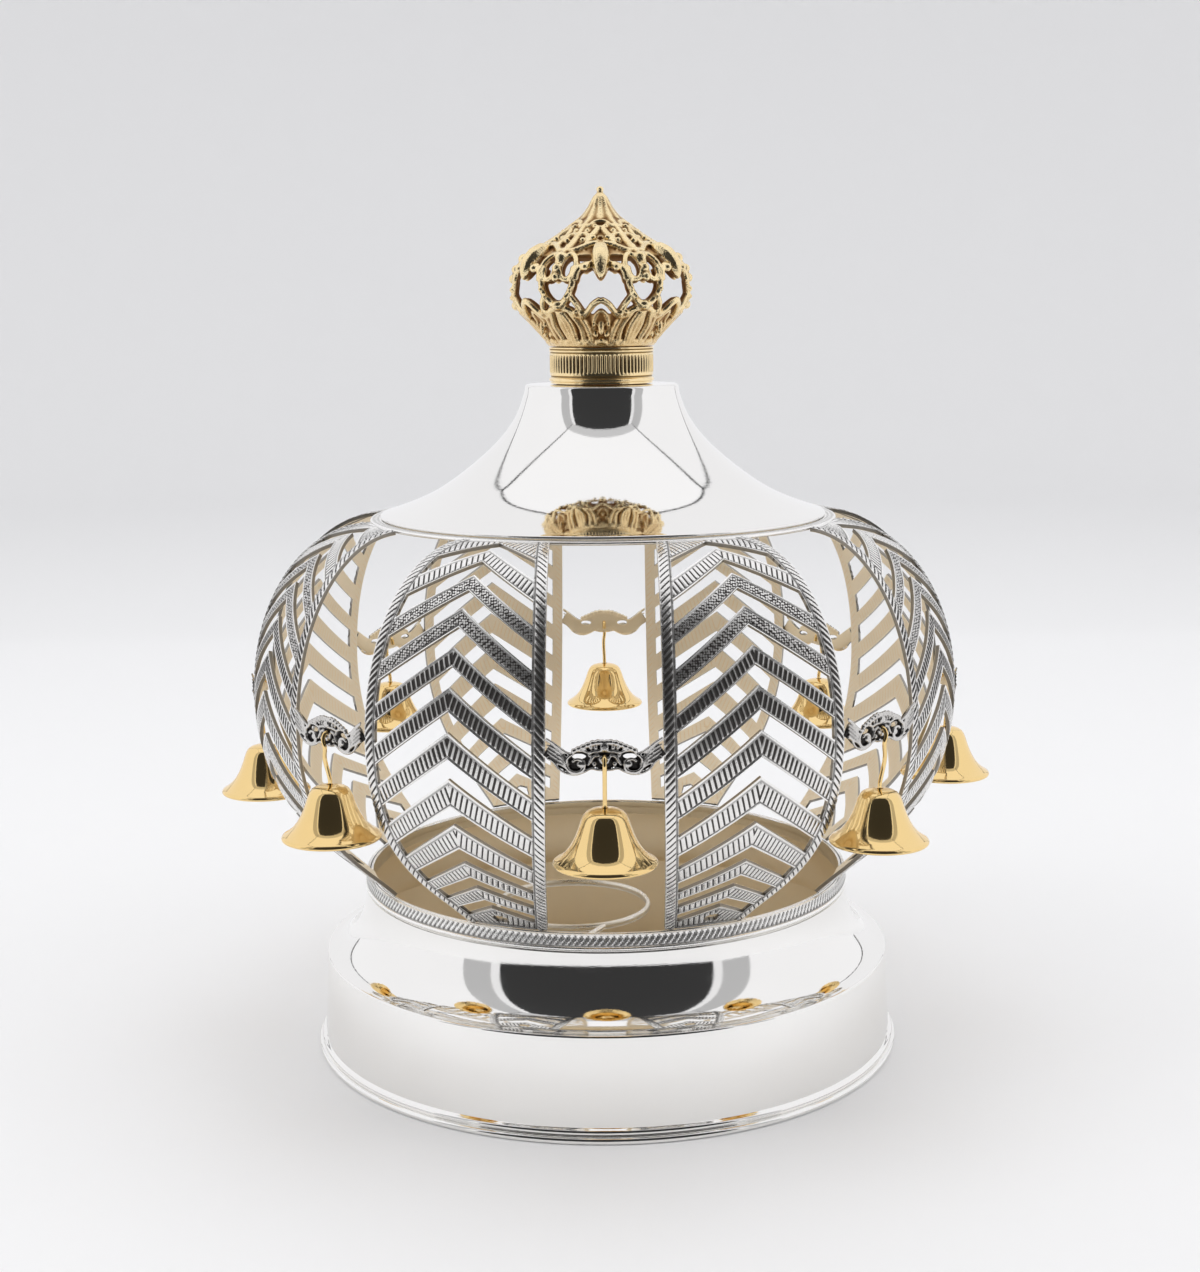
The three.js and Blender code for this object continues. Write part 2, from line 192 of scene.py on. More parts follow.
@dataclass(frozen=True)
class PolishedMetal:
    """Mirror-polished metal with faint polishing marks and a few cloudy spots."""

    name: str
    colour: tuple[float, float, float]
    stain: tuple[float, float, float]
    rough_low: float
    rough_high: float
    marks: float = 0.03
    inner: tuple[float, float, float] | None = None
    inner_rough: float = 0.4

    def make(self) -> bpy.types.Material:
        """Makes the material.

        Returns:
            The material.
        """
        material, tree, shader = new_material(self.name)
        shader.inputs["Metallic"].default_value = 1.0
        cloud = noise(tree, 24.0, 4.0, (1.0, 1.0, 2.0))
        tint = blend(tree, ranged(tree, cloud.outputs["Fac"], 0.0, 0.35), self.colour, self.stain)
        rough = noise(tree, 60.0, 3.0, (1.0, 1.0, 5.0))
        spread = ranged(tree, rough.outputs["Fac"], self.rough_low, self.rough_high)
        if self.inner:
            lining = tooling_and_shade(tree, Channel.INNER)
            tint = blend(tree, lining, tint, self.inner)
            matte = node(tree, "ShaderNodeMath", operation="MULTIPLY_ADD")
            matte.inputs[1].default_value = self.inner_rough
            tree.links.new(lining, matte.inputs[0])
            tree.links.new(spread, matte.inputs[2])
            spread = matte.outputs["Value"]
        tree.links.new(tint, shader.inputs["Base Color"])
        tree.links.new(spread, shader.inputs["Roughness"])
        scratch = noise(tree, 420.0, 2.0, (1.0, 1.0, 9.0))
        bump = node(tree, "ShaderNodeBump")
        bump.inputs["Strength"].default_value = self.marks
        bump.inputs["Distance"].default_value = 0.0002
        tree.links.new(scratch.outputs["Fac"], bump.inputs["Height"])
        tree.links.new(bump.outputs["Normal"], shader.inputs["Normal"])
        return material


@dataclass(frozen=True)
class TooledMetal:
    """Engraved or cast metal: bright high parts, blackened cuts and a plain matte inner side; on the finial
    crown the same colours paint shade into the hollows and sunk parts.
    """

    name: str
    bright: tuple[float, float, float]
    toned_and_shaded: tuple[float, float, float]
    dark: tuple[float, float, float]
    inner: tuple[float, float, float]
    rough: float = 0.25
    grain: float = 0.25
    wear: float = 0.15
    toning: float = 1.0
    strokes: bool = False

    def make(self) -> bpy.types.Material:
        """Makes the material.

        Returns:
            The material.
        """
        material, tree, shader = new_material(self.name)
        shader.inputs["Metallic"].default_value = 1.0
        cut = tooling_and_shade(tree, Channel.CUT)
        if self.strokes:
            cut = self.punched_dots(tree, self.stroke_lines(tree, cut))
        wear = noise(tree, 260.0, 4.0, (1.0, 1.0, 1.0))
        worn = ranged(tree, wear.outputs["Fac"], 0.0, self.wear)
        face = blend(tree, worn, self.bright, self.toned_and_shaded)
        tone = node(tree, "ShaderNodeMath", operation="MULTIPLY")
        tone.inputs[1].default_value = self.toning
        tree.links.new(tooling_and_shade(tree, Channel.DARK), tone.inputs[0])
        toned_and_shaded = blend(tree, tone.outputs["Value"], face, self.toned_and_shaded)
        outside = blend(tree, cut, toned_and_shaded, self.dark)
        colour = blend(tree, tooling_and_shade(tree, Channel.INNER), outside, self.inner)
        if self.strokes:
            colour = blend(tree, self.plate_edge(tree), colour, self.dark)
        tree.links.new(colour, shader.inputs["Base Color"])
        rough = node(tree, "ShaderNodeMapRange")
        rough.inputs["To Min"].default_value = self.rough
        rough.inputs["To Max"].default_value = 0.62
        tree.links.new(cut, rough.inputs["Value"])
        matte = node(tree, "ShaderNodeMath", operation="MULTIPLY_ADD")
        matte.inputs[1].default_value = 0.3
        tree.links.new(tooling_and_shade(tree, Channel.INNER), matte.inputs[0])
        tree.links.new(rough.outputs["Result"], matte.inputs[2])
        tree.links.new(matte.outputs["Value"], shader.inputs["Roughness"])
        grain = noise(tree, 1400.0, 2.0, (1.0, 1.0, 1.0))
        bump = node(tree, "ShaderNodeBump")
        bump.inputs["Strength"].default_value = self.grain
        bump.inputs["Distance"].default_value = 0.0002
        tree.links.new(grain.outputs["Fac"], bump.inputs["Height"])
        tree.links.new(bump.outputs["Normal"], shader.inputs["Normal"])
        return material

    @staticmethod
    def punched_dots(tree: bpy.types.NodeTree, cut: bpy.types.NodeSocket) -> bpy.types.NodeSocket:
        """Adds the blackened dots of the punched ground.

        Args:
            tree: The material's node tree.
            cut: The cuts' socket.

        Returns:
            The socket of the cuts and dots.
        """
        place = node(tree, "ShaderNodeTexCoord")
        cells = node(tree, "ShaderNodeTexVoronoi")
        cells.inputs["Scale"].default_value = 1150.0
        cells.inputs["Randomness"].default_value = 0.35
        tree.links.new(place.outputs["Object"], cells.inputs["Vector"])
        ground = node(tree, "ShaderNodeMapRange")
        ground.inputs["From Min"].default_value = 0.36
        ground.inputs["From Max"].default_value = 0.56
        tree.links.new(cells.outputs["Distance"], ground.inputs["Value"])
        marks = node(tree, "ShaderNodeAttribute", attribute_name="tooling_and_shade")
        amount = node(tree, "ShaderNodeMath", operation="SUBTRACT")
        amount.inputs[0].default_value = 1.0
        tree.links.new(marks.outputs["Alpha"], amount.inputs[1])
        dotted = node(tree, "ShaderNodeMath", operation="MULTIPLY")
        tree.links.new(ground.outputs["Result"], dotted.inputs[0])
        tree.links.new(amount.outputs["Value"], dotted.inputs[1])
        deeper = node(tree, "ShaderNodeMath", operation="MAXIMUM")
        tree.links.new(dotted.outputs["Value"], deeper.inputs[0])
        tree.links.new(cut, deeper.inputs[1])
        return deeper.outputs["Value"]

    @staticmethod
    def plate_edge(tree: bpy.types.NodeTree) -> bpy.types.NodeSocket:
        """Finds the sawn edges of a plate, between its outer and its inner side.

        Args:
            tree: The material's node tree.

        Returns:
            The edges' socket.
        """
        between = node(tree, "ShaderNodeMath", operation="PINGPONG")
        between.inputs[1].default_value = 0.5
        tree.links.new(tooling_and_shade(tree, Channel.INNER), between.inputs[0])
        edge = node(tree, "ShaderNodeMapRange")
        edge.inputs["From Min"].default_value = 0.02
        edge.inputs["From Max"].default_value = 0.1
        edge.inputs["To Max"].default_value = 0.65
        tree.links.new(between.outputs["Value"], edge.inputs["Value"])
        return edge.outputs["Result"]

    @staticmethod
    def stroke_lines(tree: bpy.types.NodeTree, cut: bpy.types.NodeSocket) -> bpy.types.NodeSocket:
        """Sharpens the cuts with lines drawn from the stroke map.

        Args:
            tree: The material's node tree.
            cut: The cuts' socket.

        Returns:
            The sharpened cuts' socket.
        """
        chart = node(tree, "ShaderNodeUVMap", uv_map="strokes")
        parts = node(tree, "ShaderNodeSeparateXYZ")
        tree.links.new(chart.outputs["UV"], parts.inputs["Vector"])
        phase = node(tree, "ShaderNodeMath", operation="PINGPONG")
        phase.inputs[1].default_value = 0.5
        tree.links.new(parts.outputs["X"], phase.inputs[0])
        widened = node(tree, "ShaderNodeMath", operation="MULTIPLY_ADD")
        widened.inputs[1].default_value = 0.27
        tree.links.new(tooling_and_shade(tree, Channel.DARK), widened.inputs[0])
        tree.links.new(phase.outputs["Value"], widened.inputs[2])
        line = node(tree, "ShaderNodeMapRange")
        line.inputs["From Min"].default_value = 0.34
        line.inputs["From Max"].default_value = 0.4
        tree.links.new(widened.outputs["Value"], line.inputs["Value"])
        drawn = node(tree, "ShaderNodeMath", operation="MULTIPLY")
        tree.links.new(line.outputs["Result"], drawn.inputs[0])
        tree.links.new(parts.outputs["Y"], drawn.inputs[1])
        deeper = node(tree, "ShaderNodeMath", operation="MAXIMUM")
        tree.links.new(drawn.outputs["Value"], deeper.inputs[0])
        tree.links.new(cut, deeper.inputs[1])
        return deeper.outputs["Value"]


@dataclass(frozen=True)
class Finishes:
    """Every finish of the crown, made once."""

    silver: bpy.types.Material
    wire: bpy.types.Material
    engraved: bpy.types.Material
    oxidised: bpy.types.Material
    gold: bpy.types.Material
    antique: bpy.types.Material
    ribbed: bpy.types.Material


def make_finishes() -> Finishes:
    """Makes the crown's metals.

    Returns:
        The finishes.
    """
    silver = (0.93, 0.92, 0.9)
    gold = (0.94, 0.7, 0.33)
    return Finishes(
        silver=PolishedMetal(
            "polished_silver", silver, (0.89, 0.88, 0.86), 0.03, 0.07, inner=(0.97, 0.84, 0.62)
        ).make(),
        wire=PolishedMetal("silver_wire", (0.93, 0.91, 0.87), (0.8, 0.76, 0.68), 0.25, 0.4, 0.08).make(),
        engraved=TooledMetal(
            "engraved_silver",
            (0.98, 0.97, 0.95),
            (0.3, 0.28, 0.26),
            (0.025, 0.02, 0.018),
            (0.98, 0.89, 0.73),
            wear=0.05,
            toning=0.35,
            strokes=True,
        ).make(),
        oxidised=TooledMetal(
            "oxidised_silver",
            (0.95, 0.93, 0.9),
            (0.2, 0.19, 0.18),
            (0.012, 0.01, 0.01),
            (0.93, 0.82, 0.62),
            rough=0.2,
        ).make(),
        gold=PolishedMetal("polished_gold", gold, (0.9, 0.6, 0.24), 0.04, 0.09).make(),
        # Painted shade: on the finial crown the toned, dark and inner colours of this gold darken and brown
        # its hollows and sunk parts, besides its worn spots.
        antique=TooledMetal(
            "antique_gold",
            (1.0, 0.83, 0.5),
            (0.66, 0.4, 0.15),
            (0.1, 0.04, 0.012),
            (0.4, 0.2, 0.07),
            rough=0.18,
            grain=0.8,
            wear=0.3,
        ).make(),
        ribbed=TooledMetal(
            "ribbed_gold",
            (1.0, 0.8, 0.46),
            (0.62, 0.38, 0.15),
            (0.1, 0.05, 0.02),
            (0.6, 0.36, 0.14),
            rough=0.14,
            grain=0.15,
        ).make(),
    )


# ---------------------------------------------------------------- workshop


def deselect() -> None:
    """Leaves edit mode and deselects everything."""
    if bpy.context.object and bpy.context.object.mode != "OBJECT":
        bpy.ops.object.mode_set(mode="OBJECT")
    bpy.ops.object.select_all(action="DESELECT")


def activate(piece: bpy.types.Object) -> None:
    """Makes one piece the only selected one and the active one."""
    deselect()
    piece.select_set(True)
    bpy.context.view_layer.objects.active = piece


def positions(piece: bpy.types.Object) -> np.ndarray:
    """Reads a mesh's points.

    Args:
        piece: The piece.

    Returns:
        One row of X, Y and Z for each vertex.
    """
    points = np.empty(len(piece.data.vertices) * 3)
    piece.data.vertices.foreach_get("co", points)
    return points.reshape(-1, 3)


def set_positions(piece: bpy.types.Object, points: np.ndarray) -> None:
    """Writes a mesh's points back."""
    piece.data.vertices.foreach_set("co", points.ravel())
    piece.data.update()


def smooth(piece: bpy.types.Object, angle: float = 35.0) -> None:
    """Shades a piece smooth except across edges sharper than an angle in degrees."""
    activate(piece)
    bpy.ops.object.shade_smooth_by_angle(angle=math.radians(angle))


def apply_modifier(piece: bpy.types.Object, kind: str, **settings: object) -> None:
    """Adds a modifier and applies it.

    Args:
        piece: The piece.
        kind: The modifier's type.
        settings: Properties of the modifier to set.
    """
    activate(piece)
    modifier = piece.modifiers.new(kind.title(), kind)
    for name, value in settings.items():
        setattr(modifier, name, value)
    bpy.ops.object.modifier_apply(modifier=modifier.name)


def lathe(name: str, profile: Profile, steps: int, closed: bool = True) -> bpy.types.Object:
    """Spins a profile about the upright axis, as on a lathe.

    Args:
        name: The piece's name.
        profile: Radius and height pairs in millimetres.
        steps: Facets round the piece.
        closed: Whether the profile's end joins its start.

    Returns:
        The piece.
    """
    deselect()
    bpy.ops.mesh.primitive_plane_add(size=MM)
    piece = bpy.context.object
    piece.name = name
    piece.data.name = name
    bpy.ops.object.mode_set(mode="EDIT")
    bpy.ops.mesh.select_mode(type="VERT")
    bpy.ops.mesh.select_all(action="SELECT")
    bpy.ops.mesh.merge(type="CENTER")
    route = [*profile, profile[0]] if closed else list(profile)
    first = Vector((route[0][0], 0, route[0][1])) * MM
    bpy.ops.transform.translate(value=first)
    for (from_r, from_z), (to_r, to_z) in zip(route, route[1:]):
        step = Vector((to_r - from_r, 0, to_z - from_z)) * MM
        bpy.ops.mesh.extrude_vertices_move(TRANSFORM_OT_translate={"value": step})
    bpy.ops.mesh.select_all(action="SELECT")
    bpy.ops.mesh.spin(steps=steps, angle=2 * math.pi, center=(0, 0, 0), axis=(0, 0, 1))
    bpy.ops.mesh.select_all(action="SELECT")
    bpy.ops.mesh.remove_doubles(threshold=MM * 0.01)
    bpy.ops.mesh.normals_make_consistent(inside=False)
    bpy.ops.object.mode_set(mode="OBJECT")
    return piece


def curve_points(
    start: Vector, pull: Vector, push: Vector, end: Vector, steps: int
) -> list[tuple[float, float]]:
    """Points of a cubic curve.

    Args:
        start: First point.
        pull: Control point of the start.
        push: Control point of the end.
        end: Last point.
        steps: Number of steps.

    Returns:
        The points, both ends included.
    """
    made = []
    for i in range(steps + 1):
        t = i / steps
        point = (1 - t) ** 3 * start + 3 * t * (1 - t) ** 2 * pull + 3 * t * t * (1 - t) * push + t**3 * end
        made.append((point.x, point.y))
    return made


def arc(
    centre: tuple[float, float], radius: float, start: float, end: float, steps: int
) -> list[tuple[float, float]]:
    """Points of an arc.

    Args:
        centre: The arc's centre.
        radius: Its radius.
        start: First angle in degrees, from the first axis.
        end: Last angle in degrees.
        steps: Number of steps.

    Returns:
        The points, both ends included.
    """
    turns = np.radians(np.linspace(start, end, steps + 1))
    return [(centre[0] + radius * math.cos(t), centre[1] + radius * math.sin(t)) for t in turns]


def tube(
    name: str, route: Iterable[Vector], radius: float | Sequence[float], sides: int = 2
) -> bpy.types.Object:
    """Draws a wire along a route and makes it a mesh.

    Args:
        name: The piece's name.
        route: Points in millimetres.
        radius: The wire's radius in millimetres, or one for each point.
        sides: Resolution of the round section.

    Returns:
        The piece.
    """
    points = list(route)
    radii = [radius] * len(points) if isinstance(radius, (int, float)) else list(radius)
    deselect()
    bpy.ops.curve.primitive_nurbs_path_add()
    piece = bpy.context.object
    piece.name = name
    curve = piece.data
    curve.splines.clear()
    spline = curve.splines.new("POLY")
    spline.points.add(len(points) - 1)
    for target, point, size in zip(spline.points, points, radii):
        target.co = (*(point * MM), 1)
        target.radius = size
    curve.bevel_depth = MM
    curve.bevel_resolution = sides
    curve.use_fill_caps = True
    bpy.ops.object.convert(target="MESH")
    return bpy.context.object


def ball(name: str, centre: Vector, size: tuple[float, float, float], rings: int = 8) -> bpy.types.Object:
    """Adds a cast bead, an ellipsoid standing upright.

    Args:
        name: The piece's name.
        centre: Its centre in millimetres.
        size: Its half sizes in millimetres.
        rings: Rings of faces.

    Returns:
        The bead.
    """
    deselect()
    bpy.ops.mesh.primitive_uv_sphere_add(segments=2 * rings, ring_count=rings, radius=1)
    bead = bpy.context.object
    bead.name = name
    set_positions(bead, positions(bead) * np.array(size) * MM + np.array(centre) * MM)
    return bead


def join(name: str, parts: Sequence[bpy.types.Object]) -> bpy.types.Object:
    """Joins parts into one piece.

    Args:
        name: The piece's name.
        parts: The parts, the first of which takes in the others.

    Returns:
        The piece.
    """
    deselect()
    for part in parts:
        part.select_set(True)
    bpy.context.view_layer.objects.active = parts[0]
    bpy.ops.object.join()
    piece = bpy.context.object
    piece.name = name
    piece.data.name = name
    return piece


def turned_copy(source: bpy.types.Object, name: str, angle: float, rise: float = 0.0) -> bpy.types.Object:
    """Copies a piece round the upright axis, with its own mesh.

    Args:
        source: The piece to copy.
        name: The copy's name.
        angle: Turn in radians.
        rise: Lift in metres.

    Returns:
        The copy.
    """
    copy = source.copy()
    copy.data = source.data.copy()
    copy.name = name
    copy.data.name = name
    bpy.context.collection.objects.link(copy)
    copy.data.transform(Matrix.Translation((0, 0, rise)) @ Matrix.Rotation(angle, 4, "Z"))
    return copy


def cast(piece: bpy.types.Object, voxel: float, keep: float) -> None:
    """Fuses joined parts into one cast solid with softened edges.

    Args:
        piece: The piece of joined parts.
        voxel: Grid size in millimetres.
        keep: Share of the triangles to keep.
    """
    apply_modifier(piece, "REMESH", mode="VOXEL", voxel_size=voxel * MM)
    apply_modifier(piece, "SMOOTH", factor=0.4, iterations=2)
    if keep < 1:
        apply_modifier(piece, "DECIMATE", ratio=keep)


def write_tooling_and_shade(
    piece: bpy.types.Object,
    cut: np.ndarray,
    dark: np.ndarray,
    inner: np.ndarray,
    dots: np.ndarray | float = 0.0,
) -> None:
    """Writes the tooling attribute of a piece, which on the finial crown also carries painted shade.

    Args:
        piece: The piece.
        cut: Darkened cuts, blackened on the silver, and painted shade in the finial crown's hollows, 0 to 1
            for each vertex.
        dark: Toned silver, and painted shade on the finial crown, 0 to 1 for each vertex.
        inner: Plain inner side, and painted shade in the finial crown's sunk parts, 0 to 1 for each vertex.
        dots: Ground punched with dots, 0 to 1 for each vertex.
    """
    layer = piece.data.color_attributes.new("tooling_and_shade", "FLOAT_COLOR", "POINT")
    colours = np.stack([cut, dark, inner, 1.0 - dots * np.ones(len(cut))], axis=1)
    layer.data.foreach_set("color", np.clip(colours, 0, 1).ravel())


def recesses(piece: bpy.types.Object, passes: int, gain: float) -> np.ndarray:
    """Measures how deep each vertex lies below its surroundings.

    Args:
        piece: The piece.
        passes: How far the surroundings reach, in steps along the edges.
        gain: Darkness for each millimetre of depth.

    Returns:
        Depth as a darkness from 0 to 1 for each vertex.
    """
    mesh = piece.data
    points = positions(piece)
    edges = np.empty(len(mesh.edges) * 2, dtype=np.int64)
    mesh.edges.foreach_get("vertices", edges)
    ends = edges.reshape(-1, 2)
    count = np.bincount(ends.ravel(), minlength=len(points)).clip(1)[:, None]
    mean = points
    for _ in range(passes):
        total = np.zeros_like(mean)
        np.add.at(total, ends[:, 0], mean[ends[:, 1]])
        np.add.at(total, ends[:, 1], mean[ends[:, 0]])
        mean = total / count
    normals = np.empty(len(points) * 3)
    mesh.vertices.foreach_get("normal", normals)
    depth = ((mean - points) * normals.reshape(-1, 3)).sum(axis=1) / MM
    return np.clip(depth * gain, 0, 1)


def on_route(piece: bpy.types.Object, route: Profile) -> np.ndarray:
    """Finds the vertices of a spun piece that were spun from some points of its profile.

    Args:
        piece: The spun piece.
        route: The profile's points.

    Returns:
        1 for the vertices that lie on them and 0 for the others.
    """
    points = positions(piece) / MM
    radius = np.hypot(points[:, 0], points[:, 1])[:, None]
    marks = np.array(route)
    distance = np.hypot(radius - marks[:, 0], points[:, 2][:, None] - marks[:, 1]).min(axis=1)
    return (distance < 0.03) * 1.0


def hand_in(piece: bpy.types.Object, finish: bpy.types.Material, slot: str, *replaced: str) -> None:
    """Dresses a finished piece, attaches it to the root and hides the frame's nodes that it stands for.

    Args:
        piece: The piece.
        finish: Its material.
        slot: The record's material slot. It is not used.
        replaced: The frame's nodes that it stands for.
    """
    piece.data.materials.clear()
    piece.data.materials.append(finish)
    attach(piece, "root")
    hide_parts(*replaced)
    LOG.info("%s: %d faces", piece.name, len(piece.data.polygons))


# ---------------------------------------------------------------- spun silver


@dataclass
class Base:
    """The spun base: rolled foot, wall, concave cove and upright neck."""

    steps: int = 192
    wall: float = 1.2
    foot_radius: float = 120.0
    cove_centre: tuple[float, float] = (115.1, 65.1)
    cove_across: float = 16.2
    cove_up: float = 25.7
    neck_radius: float = 96.9
    neck_top: float = 72.3

    def cove(self, extra: float, steps: int) -> list[tuple[float, float]]:
        """Points of the cove from the wall's top to the neck.

        Args:
            extra: Distance added outside the cove's curve.
            steps: Number of steps.

        Returns:
            The points.
        """
        across, up = self.cove_across + extra, self.cove_up + extra
        turns = [math.pi / 2 * i / steps for i in range(steps + 1)]
        x, z = self.cove_centre
        return [(x - across * math.sin(t), z - up * math.cos(t)) for t in turns]

    def profile(self) -> list[tuple[float, float]]:
        """The base's closed section, outside and lining.

        Returns:
            The points.
        """
        flange = arc((self.foot_radius - 1.3, 1.3), 1.3, -90, 90, 8)
        bead = arc((117.45, 3.95), 1.25, -60, 75, 7)
        shoulder = arc((114.5, 38.9), 0.9, 5, 80, 5)
        wall = [(118.0, 2.75), *bead, (117.2, 5.6), (116.2, 22.0)]
        outside = [*flange, *wall, *shoulder, *self.cove(0, 16)[1:]]
        lip = arc((self.neck_radius - 0.55, self.neck_top - 0.6), 0.55, 0, 180, 5)
        fillet = [(self.neck_radius + 0.7, 65.3), (self.neck_radius, 66.4)]
        return [*outside, *fillet, *lip, *self.lining()]

    def lining(self) -> list[tuple[float, float]]:
        """The points of the base's inside, from the neck down to the foot.

        Returns:
            The points.
        """
        neck = self.neck_radius - self.wall
        cove = reversed(self.cove(self.wall, 8)[1:])
        return [(neck, 71.2), (neck, 66.0), *cove, (114.0, 38.0), (116.0, 0.4)]

    def build(self, finishes: Finishes) -> None:
        """Builds and dresses the base.

        Args:
            finishes: The crown's metals.
        """
        piece = lathe("crown_base", self.profile(), self.steps)
        # The upright neck stays bright; the toned lining starts at the cove.
        lining = on_route(piece, self.lining()[2:])
        write_tooling_and_shade(piece, lining * 0, lining * 0, lining)
        smooth(piece, 40)
        hand_in(piece, finishes.silver, "polished_silver", "base")


@dataclass
class Dome:
    """The spun trumpet-shaped dome, closed at the top of its neck."""

    steps: int = 192
    wall: float = 1.2
    brim: tuple[float, float] = (88.5, 217.3)
    top: float = 268.0
    radii: tuple[float, ...] = (88.5, 80, 72, 66, 60, 52, 46, 41, 37, 34.5, 32, 30.6)
    slopes: tuple[float, ...] = (17, 20.5, 24, 30.5, 35.5, 38.5, 42, 47, 54, 61, 71, 80)

    def flare(self, inset: float, steps: int) -> list[tuple[float, float]]:
        """The dome's curve from the brim to the neck, drawn by its slope at each radius.

        Args:
            inset: Distance under the outer face.
            steps: Number of steps.

        Returns:
            The points.
        """
        share = np.linspace(0, 1, 2000)
        radius = self.radii[0] + (self.radii[-1] - self.radii[0]) * share
        marks = -np.array(self.radii)
        slope = np.radians(np.interp(-radius, marks, self.slopes))
        for _ in range(3):
            slope = np.convolve(np.pad(slope, 60, mode="edge"), np.ones(121) / 121, mode="valid")
        rise = np.concatenate([[0], np.cumsum(-np.diff(radius) * np.tan(slope[:-1]))])
        height = self.brim[1] + rise
        length = np.concatenate([[0], np.cumsum(np.hypot(np.diff(radius), np.diff(height)))])
        at = np.linspace(0, length[-1], steps + 1)
        turn = np.interp(at, length, slope)
        across = np.interp(at, length, radius) - inset * np.sin(turn)
        level = np.interp(at, length, height) - inset * np.cos(turn)
        return list(zip(across.tolist(), level.tolist()))

    def build(self, finishes: Finishes) -> None:
        """Builds and dresses the dome.

        Args:
            finishes: The crown's metals.
        """
        outside = self.flare(0, 48)
        neck = outside[-1]
        shoulder = arc((neck[0] - 1.1, self.top - 1.1), 1.1, 0, 90, 5)
        lining = self.flare(self.wall, 20)
        brim_edge = arc((self.brim[0], self.brim[1] - self.wall / 2), self.wall / 2, -80, 80, 6)
        ceiling = [(0.0, 265.4), (12.0, 265.4), (27.0, 265.2)]
        crest = [(21.0, self.top), (0.0, self.top)]
        profile = [*ceiling, *reversed(lining[:-1]), *brim_edge, *outside[1:], *shoulder, *crest]
        piece = lathe("crown_dome", profile, self.steps, closed=False)
        below = on_route(piece, [*ceiling, *lining[1:]])
        write_tooling_and_shade(piece, below * 0, below * 0, below)
        smooth(piece, 40)
        hand_in(piece, finishes.silver, "polished_silver", "dome")


# ---------------------------------------------------------------- engraved rings


def groove(phase: np.ndarray, width: float) -> np.ndarray:
    """Depth of repeated cuts.

    Args:
        phase: Position counted in cuts.
        width: Share of the pitch that is cut.

    Returns:
        1 at the middle of a cut, 0 between the cuts.
    """
    distance = np.abs(phase - np.floor(phase) - 0.5) * 2
    return np.clip((width - distance) / (width * 0.6), 0, 1)


@dataclass
class LowerBand:
    """The hatched wire strip round the neck."""

    strokes: int = 260
    bore: float = 97.2
    outer: float = 99.25
    foot: float = 65.8
    top: float = 71.9
    depth: float = 0.45

    def build(self, finishes: Finishes) -> None:
        """Builds, cuts and dresses the band.

        Args:
            finishes: The crown's metals.
        """
        lip = arc((self.outer - 0.9, self.foot + 0.95), 0.9, -70, 75, 6)
        rows = [(self.outer - 0.35 - 0.1 * i, self.foot + 2.2 + 0.55 * i) for i in range(7)]
        profile = [(self.bore, self.foot), *lip, *rows, (98.4, self.top - 0.1), (self.bore, self.top)]
        piece = lathe("crown_lower_band", profile, self.strokes * 4)
        points = positions(piece) / MM
        radius = np.hypot(points[:, 0], points[:, 1])
        angle = np.arctan2(points[:, 1], points[:, 0])
        height = points[:, 2]
        slant = (height - self.foot) * 0.32
        phase = angle / (2 * math.pi) * self.strokes - slant
        inside = (height > self.foot + 2.0) & (height < self.top - 0.2) & (radius > self.bore + 0.4)
        cut = groove(phase, 0.5) * inside
        points[:, :2] *= (1 - self.depth * cut / radius)[:, None]
        set_positions(piece, points * MM)
        ledge = (np.abs(height - self.foot - 2.05) < 0.25) * 0.5
        write_tooling_and_shade(piece, np.maximum(cut * 0.95, ledge), cut * 0.2, np.zeros_like(cut))
        smooth(piece, 50)
        hand_in(piece, finishes.engraved, "engraved_silver", "lower_band")


@dataclass
class TopRing:
    """The flat ring under the dome's brim, dotted along its edge."""

    dots: int = 300
    inner: float = 84.0
    outer: float = 93.2
    level: float = 214.4
    thickness: float = 1.6

    def build(self, finishes: Finishes) -> None:
        """Builds, punches and dresses the ring.

        Args:
            finishes: The crown's metals.
        """
        top = self.level + self.thickness
        rows = [(88.9 + 0.48 * i, top - 0.1) for i in range(8)]
        edge = arc((self.outer - 0.7, top - 0.8), 0.7, 60, -60, 5)
        profile = [(self.inner, self.level), (self.inner, top - 0.5), (88.0, top - 0.3), *rows, *edge]
        profile.append((self.outer - 1, self.level))
        piece = lathe("crown_top_ring", profile, self.dots * 4)
        points = positions(piece) / MM
        radius = np.hypot(points[:, 0], points[:, 1])
        phase = np.arctan2(points[:, 1], points[:, 0]) / (2 * math.pi) * self.dots
        line = groove(radius / 1.9 + 0.1, 0.5)
        inside = (radius > 89.2) & (radius < 92.4) & (points[:, 2] > self.level + 1)
        cut = np.maximum(groove(phase, 0.55) * groove((radius - 89.2) / 1.6, 0.8), line * 0.3) * inside
        points[:, 2] -= cut * 0.3
        set_positions(piece, points * MM)
        write_tooling_and_shade(piece, cut * 0.75, cut * 0.4, (points[:, 2] < self.level + 0.3) * 1.0)
        smooth(piece, 50)
        hand_in(piece, finishes.engraved, "engraved_silver", "top_ring")


# ---------------------------------------------------------------- cage


